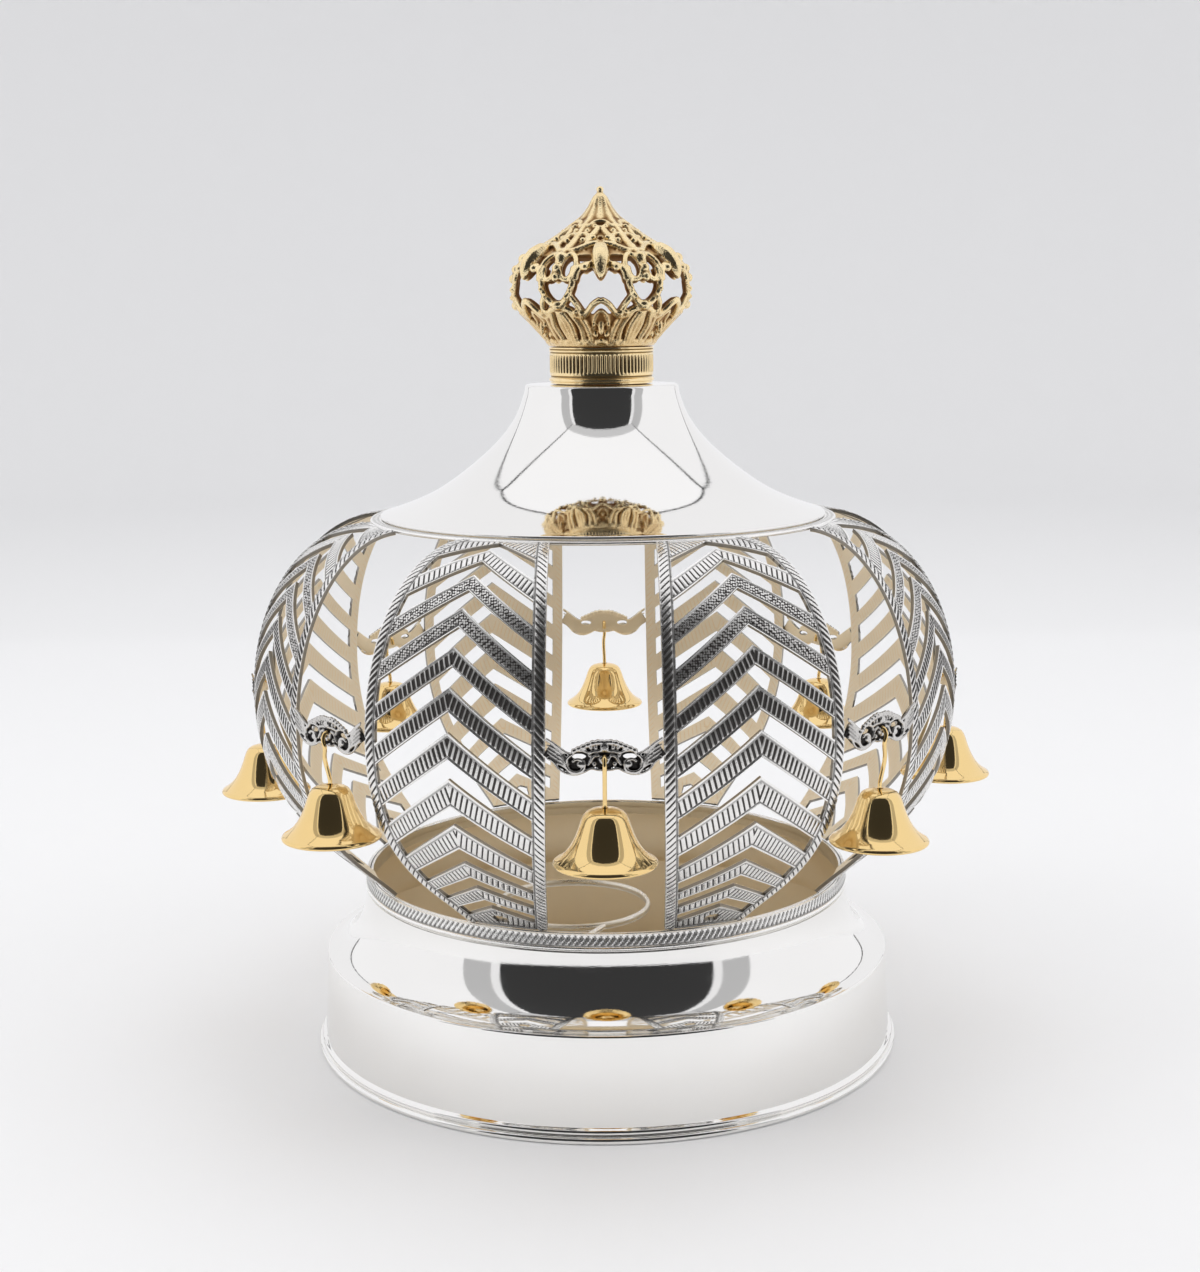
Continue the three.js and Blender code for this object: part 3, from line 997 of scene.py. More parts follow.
@dataclass
class Meridian:
    """The cage's upright curve, measured along its length in millimetres."""

    foot: Vector = field(default_factory=lambda: Vector((96.9, 72.6)))
    widest: Vector = field(default_factory=lambda: Vector((140.8, 148)))
    top: Vector = field(default_factory=lambda: Vector((93.5, 215.5)))
    steps: int = 400

    def __post_init__(self) -> None:
        """Samples the curve."""
        lower = curve_points(self.foot, Vector((112, 88)), Vector((141.6, 103)), self.widest, self.steps)
        upper = curve_points(self.widest, Vector((140.2, 186)), Vector((120, 214.5)), self.top, self.steps)
        self.points = np.array([*lower, *upper[1:]])
        pieces = np.hypot(*np.diff(self.points, axis=0).T)
        self.along = np.concatenate([[0], np.cumsum(pieces)])
        self.length = float(self.along[-1])

    def at(self, along: np.ndarray) -> tuple[np.ndarray, np.ndarray, np.ndarray, np.ndarray]:
        """Radius, height and outward direction at distances along the curve.

        Args:
            along: Distances from the foot.

        Returns:
            Radius, height, and the outward normal's radial and upright parts.
        """
        radius = np.interp(along, self.along, self.points[:, 0])
        height = np.interp(along, self.along, self.points[:, 1])
        ends = np.clip(np.stack([along - 0.5, along + 0.5]), 0, self.length)
        run = np.diff(np.interp(ends, self.along, self.points[:, 0]), axis=0)[0]
        rise = np.diff(np.interp(ends, self.along, self.points[:, 1]), axis=0)[0]
        size = np.hypot(run, rise)
        return radius, height, rise / size, -run / size


@dataclass
class Panel:
    """A leaf-shaped plate of the cage: two hatched borders joined by engraved chevron bars."""

    meridian: Meridian = field(default_factory=Meridian)
    gap_foot: float = 21.6
    gap_top: float = 18.9
    border: float = 4.6
    slope: float = 0.74
    slot_height: float = 7.2
    slot_points: tuple[float, ...] = (23, 39, 54, 71.5, 89, 105.5, 121, 135, 149.5, 163.5, 178.5)
    wall: float = 1.5
    arm_columns: int = 56
    border_columns: int = 8
    stroke_pitch: float = 2.1
    rope_pitch: float = 2.7
    depth: float = 0.3
    roll: float = 0.3
    stippled_bands: tuple[int, ...] = (16, 18)
    blackest: float = 112.0
    black_spread: float = 30.0
    lining_share: float = 0.6

    def half_angle(self, along: np.ndarray) -> np.ndarray:
        """Half the panel's angle at distances along the meridian."""
        gap = self.gap_foot + (self.gap_top - self.gap_foot) * along / self.meridian.length
        return math.pi / SIDES - np.arcsin(gap / self.meridian.at(along)[0])

    def bar_end(self, peak: float) -> float:
        """Height at which a chevron edge meets the border.

        Args:
            peak: The height of its point.

        Returns:
            The height of its end.
        """
        along = max(peak - 18, 2.0)
        for _ in range(4):
            place = np.array([along])
            width = float(self.meridian.at(place)[0][0] * self.half_angle(place)[0]) - self.border
            along = max(peak - self.slope * width, 2.0)
        return along

    def rows(self) -> tuple[np.ndarray, np.ndarray, np.ndarray, np.ndarray]:
        """The lattice's rows from the foot to the top.

        Returns:
            For each row its height at the middle, its height at the border, its band, and its
            share of the way up through that band. Even bands are bars and odd ones are slots.
        """
        middle, side = [0.0], [0.0]
        for peak in self.slot_points:
            middle += [peak - self.slot_height, peak]
            side += [self.bar_end(peak - self.slot_height), self.bar_end(peak) + 0.8]
        middle.append(self.meridian.length)
        side.append(self.meridian.length)
        share = np.array([0, 0.05, 0.1, 0.15, 0.25, 0.36, 0.47, 0.58, 0.69, 0.79, 0.86, 0.93])
        bands = len(middle) - 1
        at = np.concatenate([i + share for i in range(bands)] + [[bands]])
        marks = np.arange(bands + 1)
        band = np.minimum(np.floor(at), bands - 1).astype(int)
        return np.interp(at, marks, middle), np.interp(at, marks, side), band, at - band

    def build(self) -> bpy.types.Object:
        """Builds one panel, at the front of the cage.

        Returns:
            The panel.
        """
        middle, side, band, share = self.rows()
        columns = 2 * (self.arm_columns + self.border_columns) + 1
        deselect()
        bpy.ops.mesh.primitive_grid_add(x_subdivisions=columns - 1, y_subdivisions=len(middle) - 1, size=2)
        piece = bpy.context.object
        grid = positions(piece)
        column = np.rint((grid[:, 0] + 1) / 2 * (columns - 1)).astype(int)
        row = np.rint((grid[:, 1] + 1) / 2 * (len(middle) - 1)).astype(int)
        offset = column - columns // 2
        inner = np.minimum(np.abs(offset), self.arm_columns) / self.arm_columns
        outer = np.maximum(np.abs(offset) - self.arm_columns, 0) / self.border_columns
        along = middle[row] + (side[row] - middle[row]) * inner
        radius = self.meridian.at(along)[0]
        half_side = self.half_angle(side[row])
        border = self.border / self.meridian.at(side[row])[0]
        angle = np.sign(offset) * ((half_side - border) * inner + border * outer)
        self.open_slots(piece, columns, band)
        data = {
            "share": share[row],
            "band": band[row].astype(float),
            "outer": outer,
            "across": np.abs(angle) * radius,
            "along": along,
        }
        return self.engrave(piece, data, angle)

    def open_slots(self, piece: bpy.types.Object, columns: int, band: np.ndarray) -> None:
        """Deletes the faces of the slots and of the small light at the foot.

        Args:
            piece: The flat lattice.
            columns: Points across the lattice.
            band: The band of each row.
        """
        bpy.ops.object.mode_set(mode="EDIT")
        bpy.ops.mesh.select_mode(type="FACE")
        bpy.ops.object.mode_set(mode="OBJECT")
        for polygon in piece.data.polygons:
            row, column = divmod(min(polygon.vertices), columns)
            arm = self.border_columns <= column < columns - 1 - self.border_columns
            light = 4 <= row <= 6 and abs(column + 0.5 - columns / 2) < 13
            polygon.select = bool(arm and band[row] % 2 == 1) or light
        bpy.ops.object.mode_set(mode="EDIT")
        bpy.ops.mesh.delete(type="ONLY_FACE")
        bpy.ops.object.mode_set(mode="OBJECT")

    def bend(self, piece: bpy.types.Object, along: np.ndarray, angle: np.ndarray) -> None:
        """Bends points to the cage.

        Args:
            piece: The panel.
            along: Distance of each point along the meridian.
            angle: Angle of each point from the panel's middle.
        """
        radius, height, _, _ = self.meridian.at(along)
        points = np.stack([radius * np.sin(angle), -radius * np.cos(angle), height], axis=1)
        set_positions(piece, points * MM)

    def engrave(
        self, piece: bpy.types.Object, data: dict[str, np.ndarray], angle: np.ndarray
    ) -> bpy.types.Object:
        """Bends the plate, cuts the strokes, gives it its thickness and marks the blackened parts.

        Args:
            piece: The flat panel.
            data: Where each point lies in its bar or border.
            angle: Angle of each point from the panel's middle.

        Returns:
            The finished panel.
        """
        share, outer = data["share"], data["outer"]
        on_border = outer > 0
        rope_phase = (data["along"] + (outer - 0.5) * self.border * 1.1) / self.rope_pitch
        stroke_phase = (data["across"] - 0.3 * data["along"]) / self.stroke_pitch
        phase = np.where(on_border, rope_phase, stroke_phase)
        stippled = np.isin(data["band"], self.stippled_bands) & ~on_border
        field_area = (share > 0.14) & (share < 0.8)
        marked = np.where(on_border, (outer > 0.2) & (outer < 0.9), field_area)
        relief = np.where(stippled, 0.0, groove(phase, 0.5)) * marked
        edge_line = (np.abs(share - 0.1) < 0.03) * 0.9 + (np.abs(share - 0.86) < 0.03) * 0.6
        border_line = (np.abs(outer - 0.12) < 0.05) * 0.9
        lines = np.where(on_border, border_line, edge_line)
        lift = -self.depth * np.maximum(relief, lines)
        lift += np.where(on_border, self.roll * np.sin(np.pi * outer), 0.0)
        middle_rows = np.exp(-(((data["along"] - self.blackest) / self.black_spread) ** 2))
        dark = (0.04 + 0.9 * middle_rows) * np.where(on_border, 0.8, 1.0) * marked
        cut = np.maximum(lines, relief * (0.1 + 0.3 * middle_rows))
        cut = np.maximum(cut, dark * 0.12)
        strength = marked * np.where(stippled, 0.0, 0.92)
        dots = stippled * marked * 0.95
        self.bend(piece, data["along"], angle)
        self.chart(piece, phase, strength)
        drop = self.loose_points(piece)
        apply_modifier(piece, "SOLIDIFY", thickness=self.wall * MM, offset=-1.0, use_even_offset=True)
        points = positions(piece)
        total = len(points)
        kept = np.flatnonzero(~drop)
        outside = np.arange(total) < len(kept)
        _, _, out, up = self.meridian.at(data["along"][kept])
        reach = lift[kept] * MM
        across = reach * out
        turn = angle[kept]
        points[: len(kept)] += np.stack([across * np.sin(turn), -across * np.cos(turn), reach * up], axis=1)
        set_positions(piece, points)
        marks = np.zeros((4, total))
        marks[3, outside] = dots[kept]
        marks[0, outside] = cut[kept]
        marks[1, outside] = dark[kept]
        marks[2, ~outside] = 1.0
        write_tooling_and_shade(piece, *marks)
        self.thin_lining(piece, np.flatnonzero(~outside))
        smooth(piece, 45)
        return piece

    @staticmethod
    def chart(piece: bpy.types.Object, phase: np.ndarray, strength: np.ndarray) -> None:
        """Writes the stroke map: position counted in strokes, and how strongly they show.

        Args:
            piece: The panel before it is thickened.
            phase: Position of each point, counted in strokes.
            strength: Strength of the strokes at each point.
        """
        layer = piece.data.uv_layers.active or piece.data.uv_layers.new(name="strokes")
        layer.name = "strokes"
        corners = np.empty(len(piece.data.loops), dtype=np.int64)
        piece.data.loops.foreach_get("vertex_index", corners)
        layer.data.foreach_set("uv", np.stack([phase[corners], strength[corners]], axis=1).ravel())

    def thin_lining(self, piece: bpy.types.Object, lining: np.ndarray) -> None:
        """Thins out the points of the plain inner side.

        Args:
            piece: The panel.
            lining: The inner side's points.
        """
        group = piece.vertex_groups.new(name="lining")
        group.add(lining.tolist(), 1.0, "REPLACE")
        settings = {"vertex_group": "lining", "vertex_group_factor": 10.0}
        apply_modifier(piece, "DECIMATE", ratio=self.lining_share, **settings)
        piece.vertex_groups.clear()

    @staticmethod
    def loose_points(piece: bpy.types.Object) -> np.ndarray:
        """Deletes the points that no face uses.

        Args:
            piece: The panel.

        Returns:
            Whether each of the former points was deleted.
        """
        used = np.zeros(len(piece.data.vertices), dtype=bool)
        for polygon in piece.data.polygons:
            used[list(polygon.vertices)] = True
        activate(piece)
        bpy.ops.object.mode_set(mode="EDIT")
        bpy.ops.mesh.select_all(action="SELECT")
        bpy.ops.mesh.delete_loose(use_verts=True, use_edges=True, use_faces=False)
        bpy.ops.object.mode_set(mode="OBJECT")
        return ~used


# ---------------------------------------------------------------- bells and brackets


@dataclass
class Bell:
    """A small spun bell with a round shoulder and a rolled lip."""

    distance: float = 139.9
    wall: float = 0.9
    steps: int = 64
    shoulder: float = 20.3

    def build(self) -> bpy.types.Object:
        """Builds a bell about the upright axis, with its rim at height 0.

        Returns:
            The bell.
        """
        outer = [
            (1.2, 20.3),
            (3.2, 20.1),
            (5.2, 19.6),
            (6.6, 18.8),
            (7.5, 17.6),
            (8.2, 16.0),
            (9.0, 13.6),
            (9.9, 11.2),
            (11.0, 8.8),
            (12.3, 6.6),
            (13.8, 4.7),
            (15.4, 3.3),
            (16.9, 2.35),
            (17.6, 1.95),
        ]
        lip = arc((17.35, 1.05), 0.75, 60, -110, 7)
        inner = [(max(r - self.wall, 1.2), z - 0.75) for r, z in reversed(outer)]
        return lathe("bell", [*outer, *lip, *inner[1:]], self.steps)


# Edges of half a bracket and the scallops of its crest, from its middle, in millimetres
RAILS = (
    ((19.7, 6.6), (17.0, 4.9), (14.4, 2.7), (11.8, 1.1), (10.2, 1.4)),
    (
        (19.6, -0.1),
        (17.2, -1.5),
        (15.6, -3.8),
        (12.8, -5.5),
        (9.6, -5.9),
        (6.6, -4.9),
        (4.6, -3.9),
        (2.2, -4.4),
        (0, -4.5),
    ),
    ((10.8, 2.0), (7.6, 2.2), (5.2, 1.6), (3.2, 2.0), (0, 2.2)),
    ((5.6, -2.9), (4.6, -1.2), (3.6, 0.2), (1.8, 0.6)),
)
SCALLOPS = (
    (10.4, 2.2, 0.95),
    (8.9, 2.9, 1.0),
    (7.3, 3.5, 1.05),
    (5.7, 4.2, 1.1),
    (4.0, 4.8, 1.15),
    (2.2, 5.1, 1.15),
    (0.7, 5.1, 1.0),
    (6.6, 2.7, 0.6),
    (4.6, 3.2, 0.65),
    (2.9, 3.3, 0.65),
    (3.4, -2.4, 0.8),
    (5.0, 0.6, 0.6),
)


@dataclass
class Bracket:
    """A cast scroll bar between two panels: fans, scrolls, a shell crest and bosses."""

    middle: float = 148.6
    back: float = 138.6
    thickness: float = 2.0
    relief: float = 0.55
    scroll_wire: tuple[float, float] = (0.62, 0.5)
    fan_wire: float = 0.32
    rail_wire: float = 0.45
    voxel: float = 0.3
    keep: float = 0.5

    @staticmethod
    def spiral(side: int) -> list[Vector]:
        """Centre line of a C-scroll.

        Args:
            side: -1 for the left scroll and 1 for the right one.

        Returns:
            Points in the bracket's plane.
        """
        points = []
        for t in np.linspace(0, 1, 24):
            angle = math.radians(70 - 400 * t)
            reach = 3.7 - 2.3 * t
            across = 9.4 + reach * 1.15 * math.cos(angle)
            points.append(Vector((side * across, 0, -2.4 + reach * math.sin(angle))))
        return points

    def place(self, points: Iterable[Vector], depth: float = 0.0) -> list[Vector]:
        """Moves points of the bracket's plane to the front gap.

        Args:
            points: Points with X along the bracket and Z up from its middle.
            depth: Distance in front of the bracket's middle plane.

        Returns:
            Points in the crown's frame.
        """
        plane = self.back + self.thickness / 2 + depth
        return [Vector((p.x, -plane + p.y, p.z + self.middle)) for p in points]

    def plate(self) -> bpy.types.Object:
        """The bracket's flat ground, with two openings under the crest.

        Returns:
            The plate.
        """
        half = [(19.2, 3.0, 3.1), (16.8, 1.3, 3.0), (14.4, -0.7, 3.2), (12.0, -1.9, 3.5), (9.4, -1.9, 3.9)]
        half += [(6.6, -0.8, 3.8), (4.4, 0.2, 4.0), (2.0, 0.4, 4.6)]
        marks = [(-x, z, size) for x, z, size in half] + [(0, 0.4, 4.7)] + list(reversed(half))
        route = [Vector((x, 0, z)) for x, z, _ in marks]
        piece = tube("plate", self.place(route), [size for _, _, size in marks], 4)
        plane = self.back + self.thickness / 2 - 0.3
        points = positions(piece)
        points[:, 1] = -plane * MM + (points[:, 1] + (self.back + self.thickness / 2) * MM) * 0.17
        set_positions(piece, points)
        drills = []
        for side in (-1, 1):
            drills.append(ball("drill", self.place([Vector((side * 8.6, 0, 0.1))])[0], (2.5, 4, 0.95), 8))
        cutter = join("drills", drills)
        apply_modifier(piece, "BOOLEAN", operation="DIFFERENCE", object=cutter, solver="EXACT", use_self=True)
        bpy.data.objects.remove(cutter)
        return piece

    def build(self) -> bpy.types.Object:
        """Builds the front bracket.

        Returns:
            The bracket.
        """
        parts = [self.plate()]
        scroll_radii = np.linspace(*self.scroll_wire, 24).tolist()
        for side in (-1, 1):
            parts.append(tube("scroll", self.place(self.spiral(side), 0.75), scroll_radii))
            eye = self.place([Vector((side * 8.0, 0, -2.5))], 0.5)[0]
            parts.append(ball("scroll_eye", eye, (1.5, 0.9, 1.2), 8))
            for k in range(5):
                t = k / 4
                bend = [
                    Vector((side * (19.6 - 0.5 * t), 0, 5.9 - 5.6 * t)),
                    Vector((side * (17.2 - 0.7 * t), 0, 4.4 - 5.8 * t)),
                    Vector((side * (14.6 - 0.9 * t), 0, 1.9 - 5.2 * t)),
                    Vector((side * (12.6 - 0.9 * t), 0, -0.6 - 4.2 * t)),
                ]
                parts.append(tube("fan", self.place(Hook.rounded(bend, 3), 0.75), self.fan_wire))
            for route in RAILS:
                rail = Hook.rounded([Vector((side * x, 0, z)) for x, z in route], 3)
                parts.append(tube("rail", self.place(rail, 0.7), self.rail_wire))
            for x, z, size in SCALLOPS:
                centre = self.place([Vector((side * x, 0, z))], 0.55)[0]
                parts.append(ball("scallop", centre, (size, size, size), 6))
        pearl = self.place([Vector((0, 0, 3.4))], 1.1)[0]
        parts.append(ball("pearl", pearl, (1.5, 0.9, 1.1), 8))
        corners = ((-1.5, -0.3), (1.5, -0.3), (0.9, -1.6), (0, -2.4), (-0.9, -1.6), (-1.5, -0.3))
        boss = [Vector((x, 0, z)) for x, z in corners]
        parts.append(tube("hook_boss", self.place(boss, 0.6), 0.75))
        piece = join("bracket", parts)
        cast(piece, self.voxel, self.keep)
        points = positions(piece)
        nearest = -(self.back + self.thickness + self.relief) * MM
        points[:, 1] = np.clip(points[:, 1], nearest, -(self.back + 0.1) * MM)
        set_positions(piece, points)
        depth = -(points[:, 1] / MM + self.back)
        hollow = recesses(piece, 6, 6.0)
        low = np.clip((2.0 - depth) / 0.45, 0, 1)
        normals = np.empty(len(points) * 3)
        piece.data.vertices.foreach_get("normal", normals)
        behind = np.clip((normals.reshape(-1, 3)[:, 1] - 0.15) / 0.3, 0, 1)
        write_tooling_and_shade(piece, np.maximum(hollow, low * 0.95) * (1 - behind), 0.35 * (1 - behind), behind)
        smooth(piece, 60)
        return piece


@dataclass
class Hook:
    """A bell's hook: gilt wire looped through the bracket and bent under the bell's crown."""

    radius: float = 0.8
    distance: float = 139.9
    hole: float = 148.2
    face: float = 140.6
    bends: tuple[float, ...] = (0.0, 0.9, 0.3, -0.6, 0.3, 0.2, -0.6, -0.8)

    def build(self, index: int, bell_top: float) -> bpy.types.Object:
        """Builds a hook in the front gap.

        Args:
            index: The bell's place in the row, from the front round.
            bell_top: Height of the bell's top.

        Returns:
            The hook.
        """
        sway = self.bends[index]
        route = [
            Vector((2.2, -self.distance, bell_top - 3.4)),
            Vector((1.2, -self.distance, bell_top - 3.3)),
            Vector((0.1, -self.distance, bell_top - 2.4)),
            Vector((0, -self.distance, bell_top + 2)),
            Vector((sway, -self.face - 0.6, (bell_top + self.hole) / 2)),
            Vector((-sway * 0.6, -self.face - 1.4, self.hole - 5.0)),
            Vector((0, -self.face - 1.7, self.hole - 1.8)),
            Vector((0, -self.face - 0.9, self.hole + 0.2)),
            Vector((0, -self.face + 0.9, self.hole + 0.7)),
            Vector((0, -self.face + 2.8, self.hole + 0.2)),
            Vector((0, -self.face + 3.7, self.hole - 2.2)),
        ]
        return tube("hook", self.rounded(route), self.radius, 3)

    @staticmethod
    def rounded(route: Sequence[Vector], steps: int = 5) -> list[Vector]:
        """Rounds a route's corners.

        Args:
            route: The route's corners.
            steps: Points between two corners.

        Returns:
            The rounded route.
        """
        ends = [2 * route[0] - route[1], *route, 2 * route[-1] - route[-2]]
        points = []
        for a, b, c, d in zip(ends, ends[1:], ends[2:], ends[3:]):
            for i in range(steps):
                t = i / steps
                square = (2 * a - 5 * b + 4 * c - d) * t**2
                cube = (3 * b - a - 3 * c + d) * t**3
                points.append(0.5 * (2 * b + (c - a) * t + square + cube))
        return [*points, route[-1].copy()]


@dataclass
class StaveRing:
    """A strip ring inside the base, on two struts, that a stave of the scroll passes through."""

    radius: float = 30.0
    wall: float = 1.8
    height: float = 3.0
    level: float = 67.6
    distance: float = 53.7
    turn: float = math.radians(-13.8)
    reach: float = 94.6

    def build(self) -> bpy.types.Object:
        """Builds the ring at the front of the base.

        Returns:
            The ring.
        """
        centre = (self.radius - self.wall / 2, self.level + self.height / 2)
        half_wall, half_height = self.wall / 2, self.height / 2
        section = []
        for i in range(12):
            t = 2 * math.pi * i / 12
            section.append((centre[0] + half_wall * math.cos(t), centre[1] + half_height * math.sin(t)))
        ring = lathe("strip", section, 96)
        ring.data.transform(Matrix.Translation((0, -self.distance * MM, 0)))
        parts = [ring]
        for side in (-1, 1):
            start = Vector((side * 18, -self.distance - 23.6, centre[1]))
            end = Vector((side * 14, -math.sqrt(self.reach**2 - 14**2), centre[1]))
            strut = tube("strut", [start, start.lerp(end, 0.5), end], 1.1, 3)
            foot = ball("solder", end + Vector((0, 0.4, 0)), (1.6, 0.9, 1.3), 6)
            parts += [strut, foot]
        piece = join("strip_ring", parts)
        piece.data.transform(Matrix.Rotation(self.turn, 4, "Z"))
        smooth(piece, 40)
        return piece


@dataclass
class Cage:
    """The eight panels, brackets, hooks and bells, and the stave ring."""

    rims: tuple[float, ...] = (110.6, 106.1, 106.9, 108, 108.4, 108, 101.8, 109.3)
    panel: Panel = field(default_factory=Panel)
    bracket: Bracket = field(default_factory=Bracket)
    bell: Bell = field(default_factory=Bell)
    hook: Hook = field(default_factory=Hook)
    ring: StaveRing = field(default_factory=StaveRing)

    def build(self, finishes: Finishes) -> None:
        """Builds and dresses the cage.

        Args:
            finishes: The crown's metals.
        """
        panel = self.panel.build()
        bracket = self.bracket.build()
        bell = self.bell.build()
        smooth(bell, 40)
        bell.data.transform(Matrix.Translation((0, -self.bell.distance * MM, 0)))
        for i, rim in enumerate(self.rims):
            number = i + 1
            leaf = turned_copy(panel, f"cage_panel_{number}", (i + 0.5) * TURN)
            hand_in(leaf, finishes.engraved, "engraved_silver", f"panel_{number}")
            bar = turned_copy(bracket, f"scroll_bracket_{number}", i * TURN)
            hand_in(bar, finishes.oxidised, "oxidised_silver", f"bracket_{number}")
            cup = turned_copy(bell, f"gilt_bell_{number}", i * TURN, rim * MM)
            hand_in(cup, finishes.gold, "polished_gold", f"bell_{number}")
            wire = self.hook.build(i, rim + self.bell.shoulder)
            wire.data.transform(Matrix.Rotation(i * TURN, 4, "Z"))
            wire.name = f"bell_hook_{number}"
            smooth(wire, 50)
            hand_in(wire, finishes.gold, "polished_gold", f"hook_{number}")
        hand_in(self.ring.build(), finishes.wire, "silver_wire", "stave_ring")
        for source in (panel, bracket, bell):
            bpy.data.objects.remove(source)


# ---------------------------------------------------------------- gilt finial


@dataclass
class Collar:
    """The gilt ring under the finial crown, with a ribbed waist."""

    ribs: int = 76
    bore: float = 18.9
    radius: float = 20.9
    foot: float = 268.3
    height: float = 14.3

    def build(self, finishes: Finishes) -> None:
        """Builds, cuts and dresses the collar.

        Args:
            finishes: The crown's metals.
        """
        top = self.foot + self.height
        low_rim = arc((self.radius - 0.8, self.foot + 1.5), 0.8, -80, 70, 6)
        low_step = [(self.radius - 0.9, self.foot + 2.9), (self.radius - 0.35, self.foot + 3.3)]
        low_step.append((20.55, 272.6))
        waist = [(20.25, 273.1), (20.25, 275), (20.25, 277), (20.25, 279.2)]
        high_rim = [(20.55, 279.6), (20.75, 280.1), (20.35, 280.5)]
        high_rim += [(20.8, 280.9), (20.8, 281.4), (20.4, 281.7)]
        crest = [(self.radius - 0.05, 282.0), (self.radius - 0.2, top - 0.1), (self.bore, top - 0.1)]
        under = [(self.bore, self.foot), (20.3, self.foot + 0.1)]
        profile = [*under, *low_rim, *low_step, *waist, *high_rim, *crest]
        piece = lathe("finial_collar_ring", profile, self.ribs * 4)
        points = positions(piece) / MM
        radius = np.hypot(points[:, 0], points[:, 1])
        phase = np.arctan2(points[:, 1], points[:, 0]) / (2 * math.pi) * self.ribs
        height = points[:, 2]
        waist_area = (height > 273.0) & (height < 279.4) & (radius > 19.8)
        cut = groove(phase, 0.55) * waist_area
        points[:, :2] *= (1 - (cut * 0.85 - 0.35 * waist_area) / radius)[:, None]
        set_positions(piece, points * MM)
        line = (np.abs(height - 280.5) < 0.15) | (np.abs(height - 281.7) < 0.15)
        line = (line | (np.abs(height - 271.2) < 0.2)) * 0.8 * (radius > 19.8)
        write_tooling_and_shade(piece, np.maximum(cut * 0.9, line), cut * 0.2, (radius < 19.2) * 1.0)
        smooth(piece, 50)
        hand_in(piece, finishes.ribbed, "polished_gold", "finial_collar")


# Parts of a sixth of the finial crown, in degrees from the opening's middle and millimetres
RIB_WIRES = (
    (((308.6, -1.6), (311, -1.6), (314, -1.4), (317.5, -0.9)), (1.1, 1.4, 1.6, 1.7)),
    (((283.4, -1.4), (287, -1.5), (292, -1.6), (297, -1.3)), (1.1, 1.3, 1.4, 1.6)),
    (((318, -1.2), (321, -0.9), (325, -0.8), (329, -1.0), (333, -1.2)), (1.7, 1.5, 1.4, 1.2, 0.9)),
)
RIB_BEADS = (
    (298.9, -0.9, (2.3, 2.3, 2.0)),
    (316.8, -0.6, (2.6, 2.6, 2.3)),
    (312.8, -0.5, (1.9, 1.9, 1.9)),
    (309.2, -0.4, (1.5, 1.5, 1.8)),
    (320.8, -0.2, (1.5, 1.5, 1.3)),
)
SIDE_WIRES = (
    (
        ((29, 298.8), (24.5, 300.4), (20.6, 303.4), (18.6, 306.4), (18.4, 308.4)),
        -1.5,
        (1.7, 1.5, 1.4, 1.4, 1.3),
    ),
    (((16.6, 308), (15.6, 311.4), (12, 313.4), (7, 313.8)), -1.0, (1.2, 1.3, 1.4, 1.6)),
    (
        ((29, 298.4), (23, 297.2), (17.6, 295.2), (12.6, 294.9), (8.8, 296.8), (5, 299.2), (0, 300.9)),
        -1.4,
        1.35,
    ),
    (((20.6, 302.6), (17, 299.6), (14, 296.2)), -1.8, (1.2, 1.3, 1.3)),
    (((27.4, 283.7), (26, 287.6), (25.8, 292), (28.6, 297)), -1.4, (1.0, 1.2, 1.3, 1.3)),
    (((18.6, 283.7), (17.4, 287.4), (17.8, 291.6), (22.4, 296.4)), -1.4, (1.0, 1.2, 1.3, 1.3)),
    (((10, 283.7), (10.4, 287.4), (12.4, 291.4), (15.6, 295)), -1.5, (1.0, 1.2, 1.2, 1.2)),
    (((7.2, 284.4), (7.4, 288.4), (6.4, 292), (3.6, 295.4), (0, 297)), -2.3, 0.9),
    (((2, 321.9), (9, 321.6), (16, 320.6), (23, 319.2), (30, 318.9)), -1.2, (1.6, 1.5, 1.4, 1.4, 1.6)),
    (((1, 328.6), (8, 326.6), (13, 323.6), (14, 321.4)), -0.7, (1.1, 1.2, 1.2, 1.2)),
    (((30, 324.4), (24, 325.6), (17, 325.2), (14, 322.8)), -0.7, (1.2, 1.1, 1.1, 1.1)),
    (((0, 331), (12, 330.6), (22, 328.8), (30, 329.6)), -0.6, (1.0, 0.9, 0.9, 1.0)),
)
SIDE_BEADS = (
    (10.2, 312.9, -0.2, (1.7, 1.7, 1.7)),
    (19.6, 304.9, -0.3, (1.0, 1.0, 1.0)),
    (22.4, 301.9, -0.3, (1.0, 1.0, 1.0)),
    (13.6, 295.6, -0.4, (1.1, 1.1, 1.1)),
    (17.9, 296.2, -0.4, (1.0, 1.0, 1.0)),
    (6.0, 291.4, -1.0, (0.9, 0.9, 1.0)),
    (4.8, 288.0, -1.0, (1.0, 1.0, 1.7)),
    (3.6, 284.9, -0.8, (1.2, 1.2, 1.2)),
    (14.4, 285.2, -0.9, (1.1, 1.1, 1.4)),
    (22.4, 285.0, -0.9, (1.0, 1.0, 1.3)),
    (20.0, 323.4, -0.2, (1.3, 1.3, 1.2)),
    (8.0, 324.4, -0.1, (1.2, 1.2, 1.2)),
    (20.0, 327.2, -0.2, (1.1, 1.1, 1.1)),
    (9.0, 329.0, -0.1, (1.0, 1.0, 1.0)),
)
ACORN = (
    ((308.6, -0.7), (310.2, -0.9), (312.4, -1.0), (315, -0.8), (317.6, -0.4), (320.2, 0.2), (321.8, 0.6)),
    (0.6, 1.9, 3.0, 3.6, 3.8, 3.0, 1.2),
)
MIDDLE_BEADS = (
    (290.8, -1.0, (1.2, 1.2, 3.4)),
    (285.4, -0.8, (1.3, 1.3, 1.5)),
)


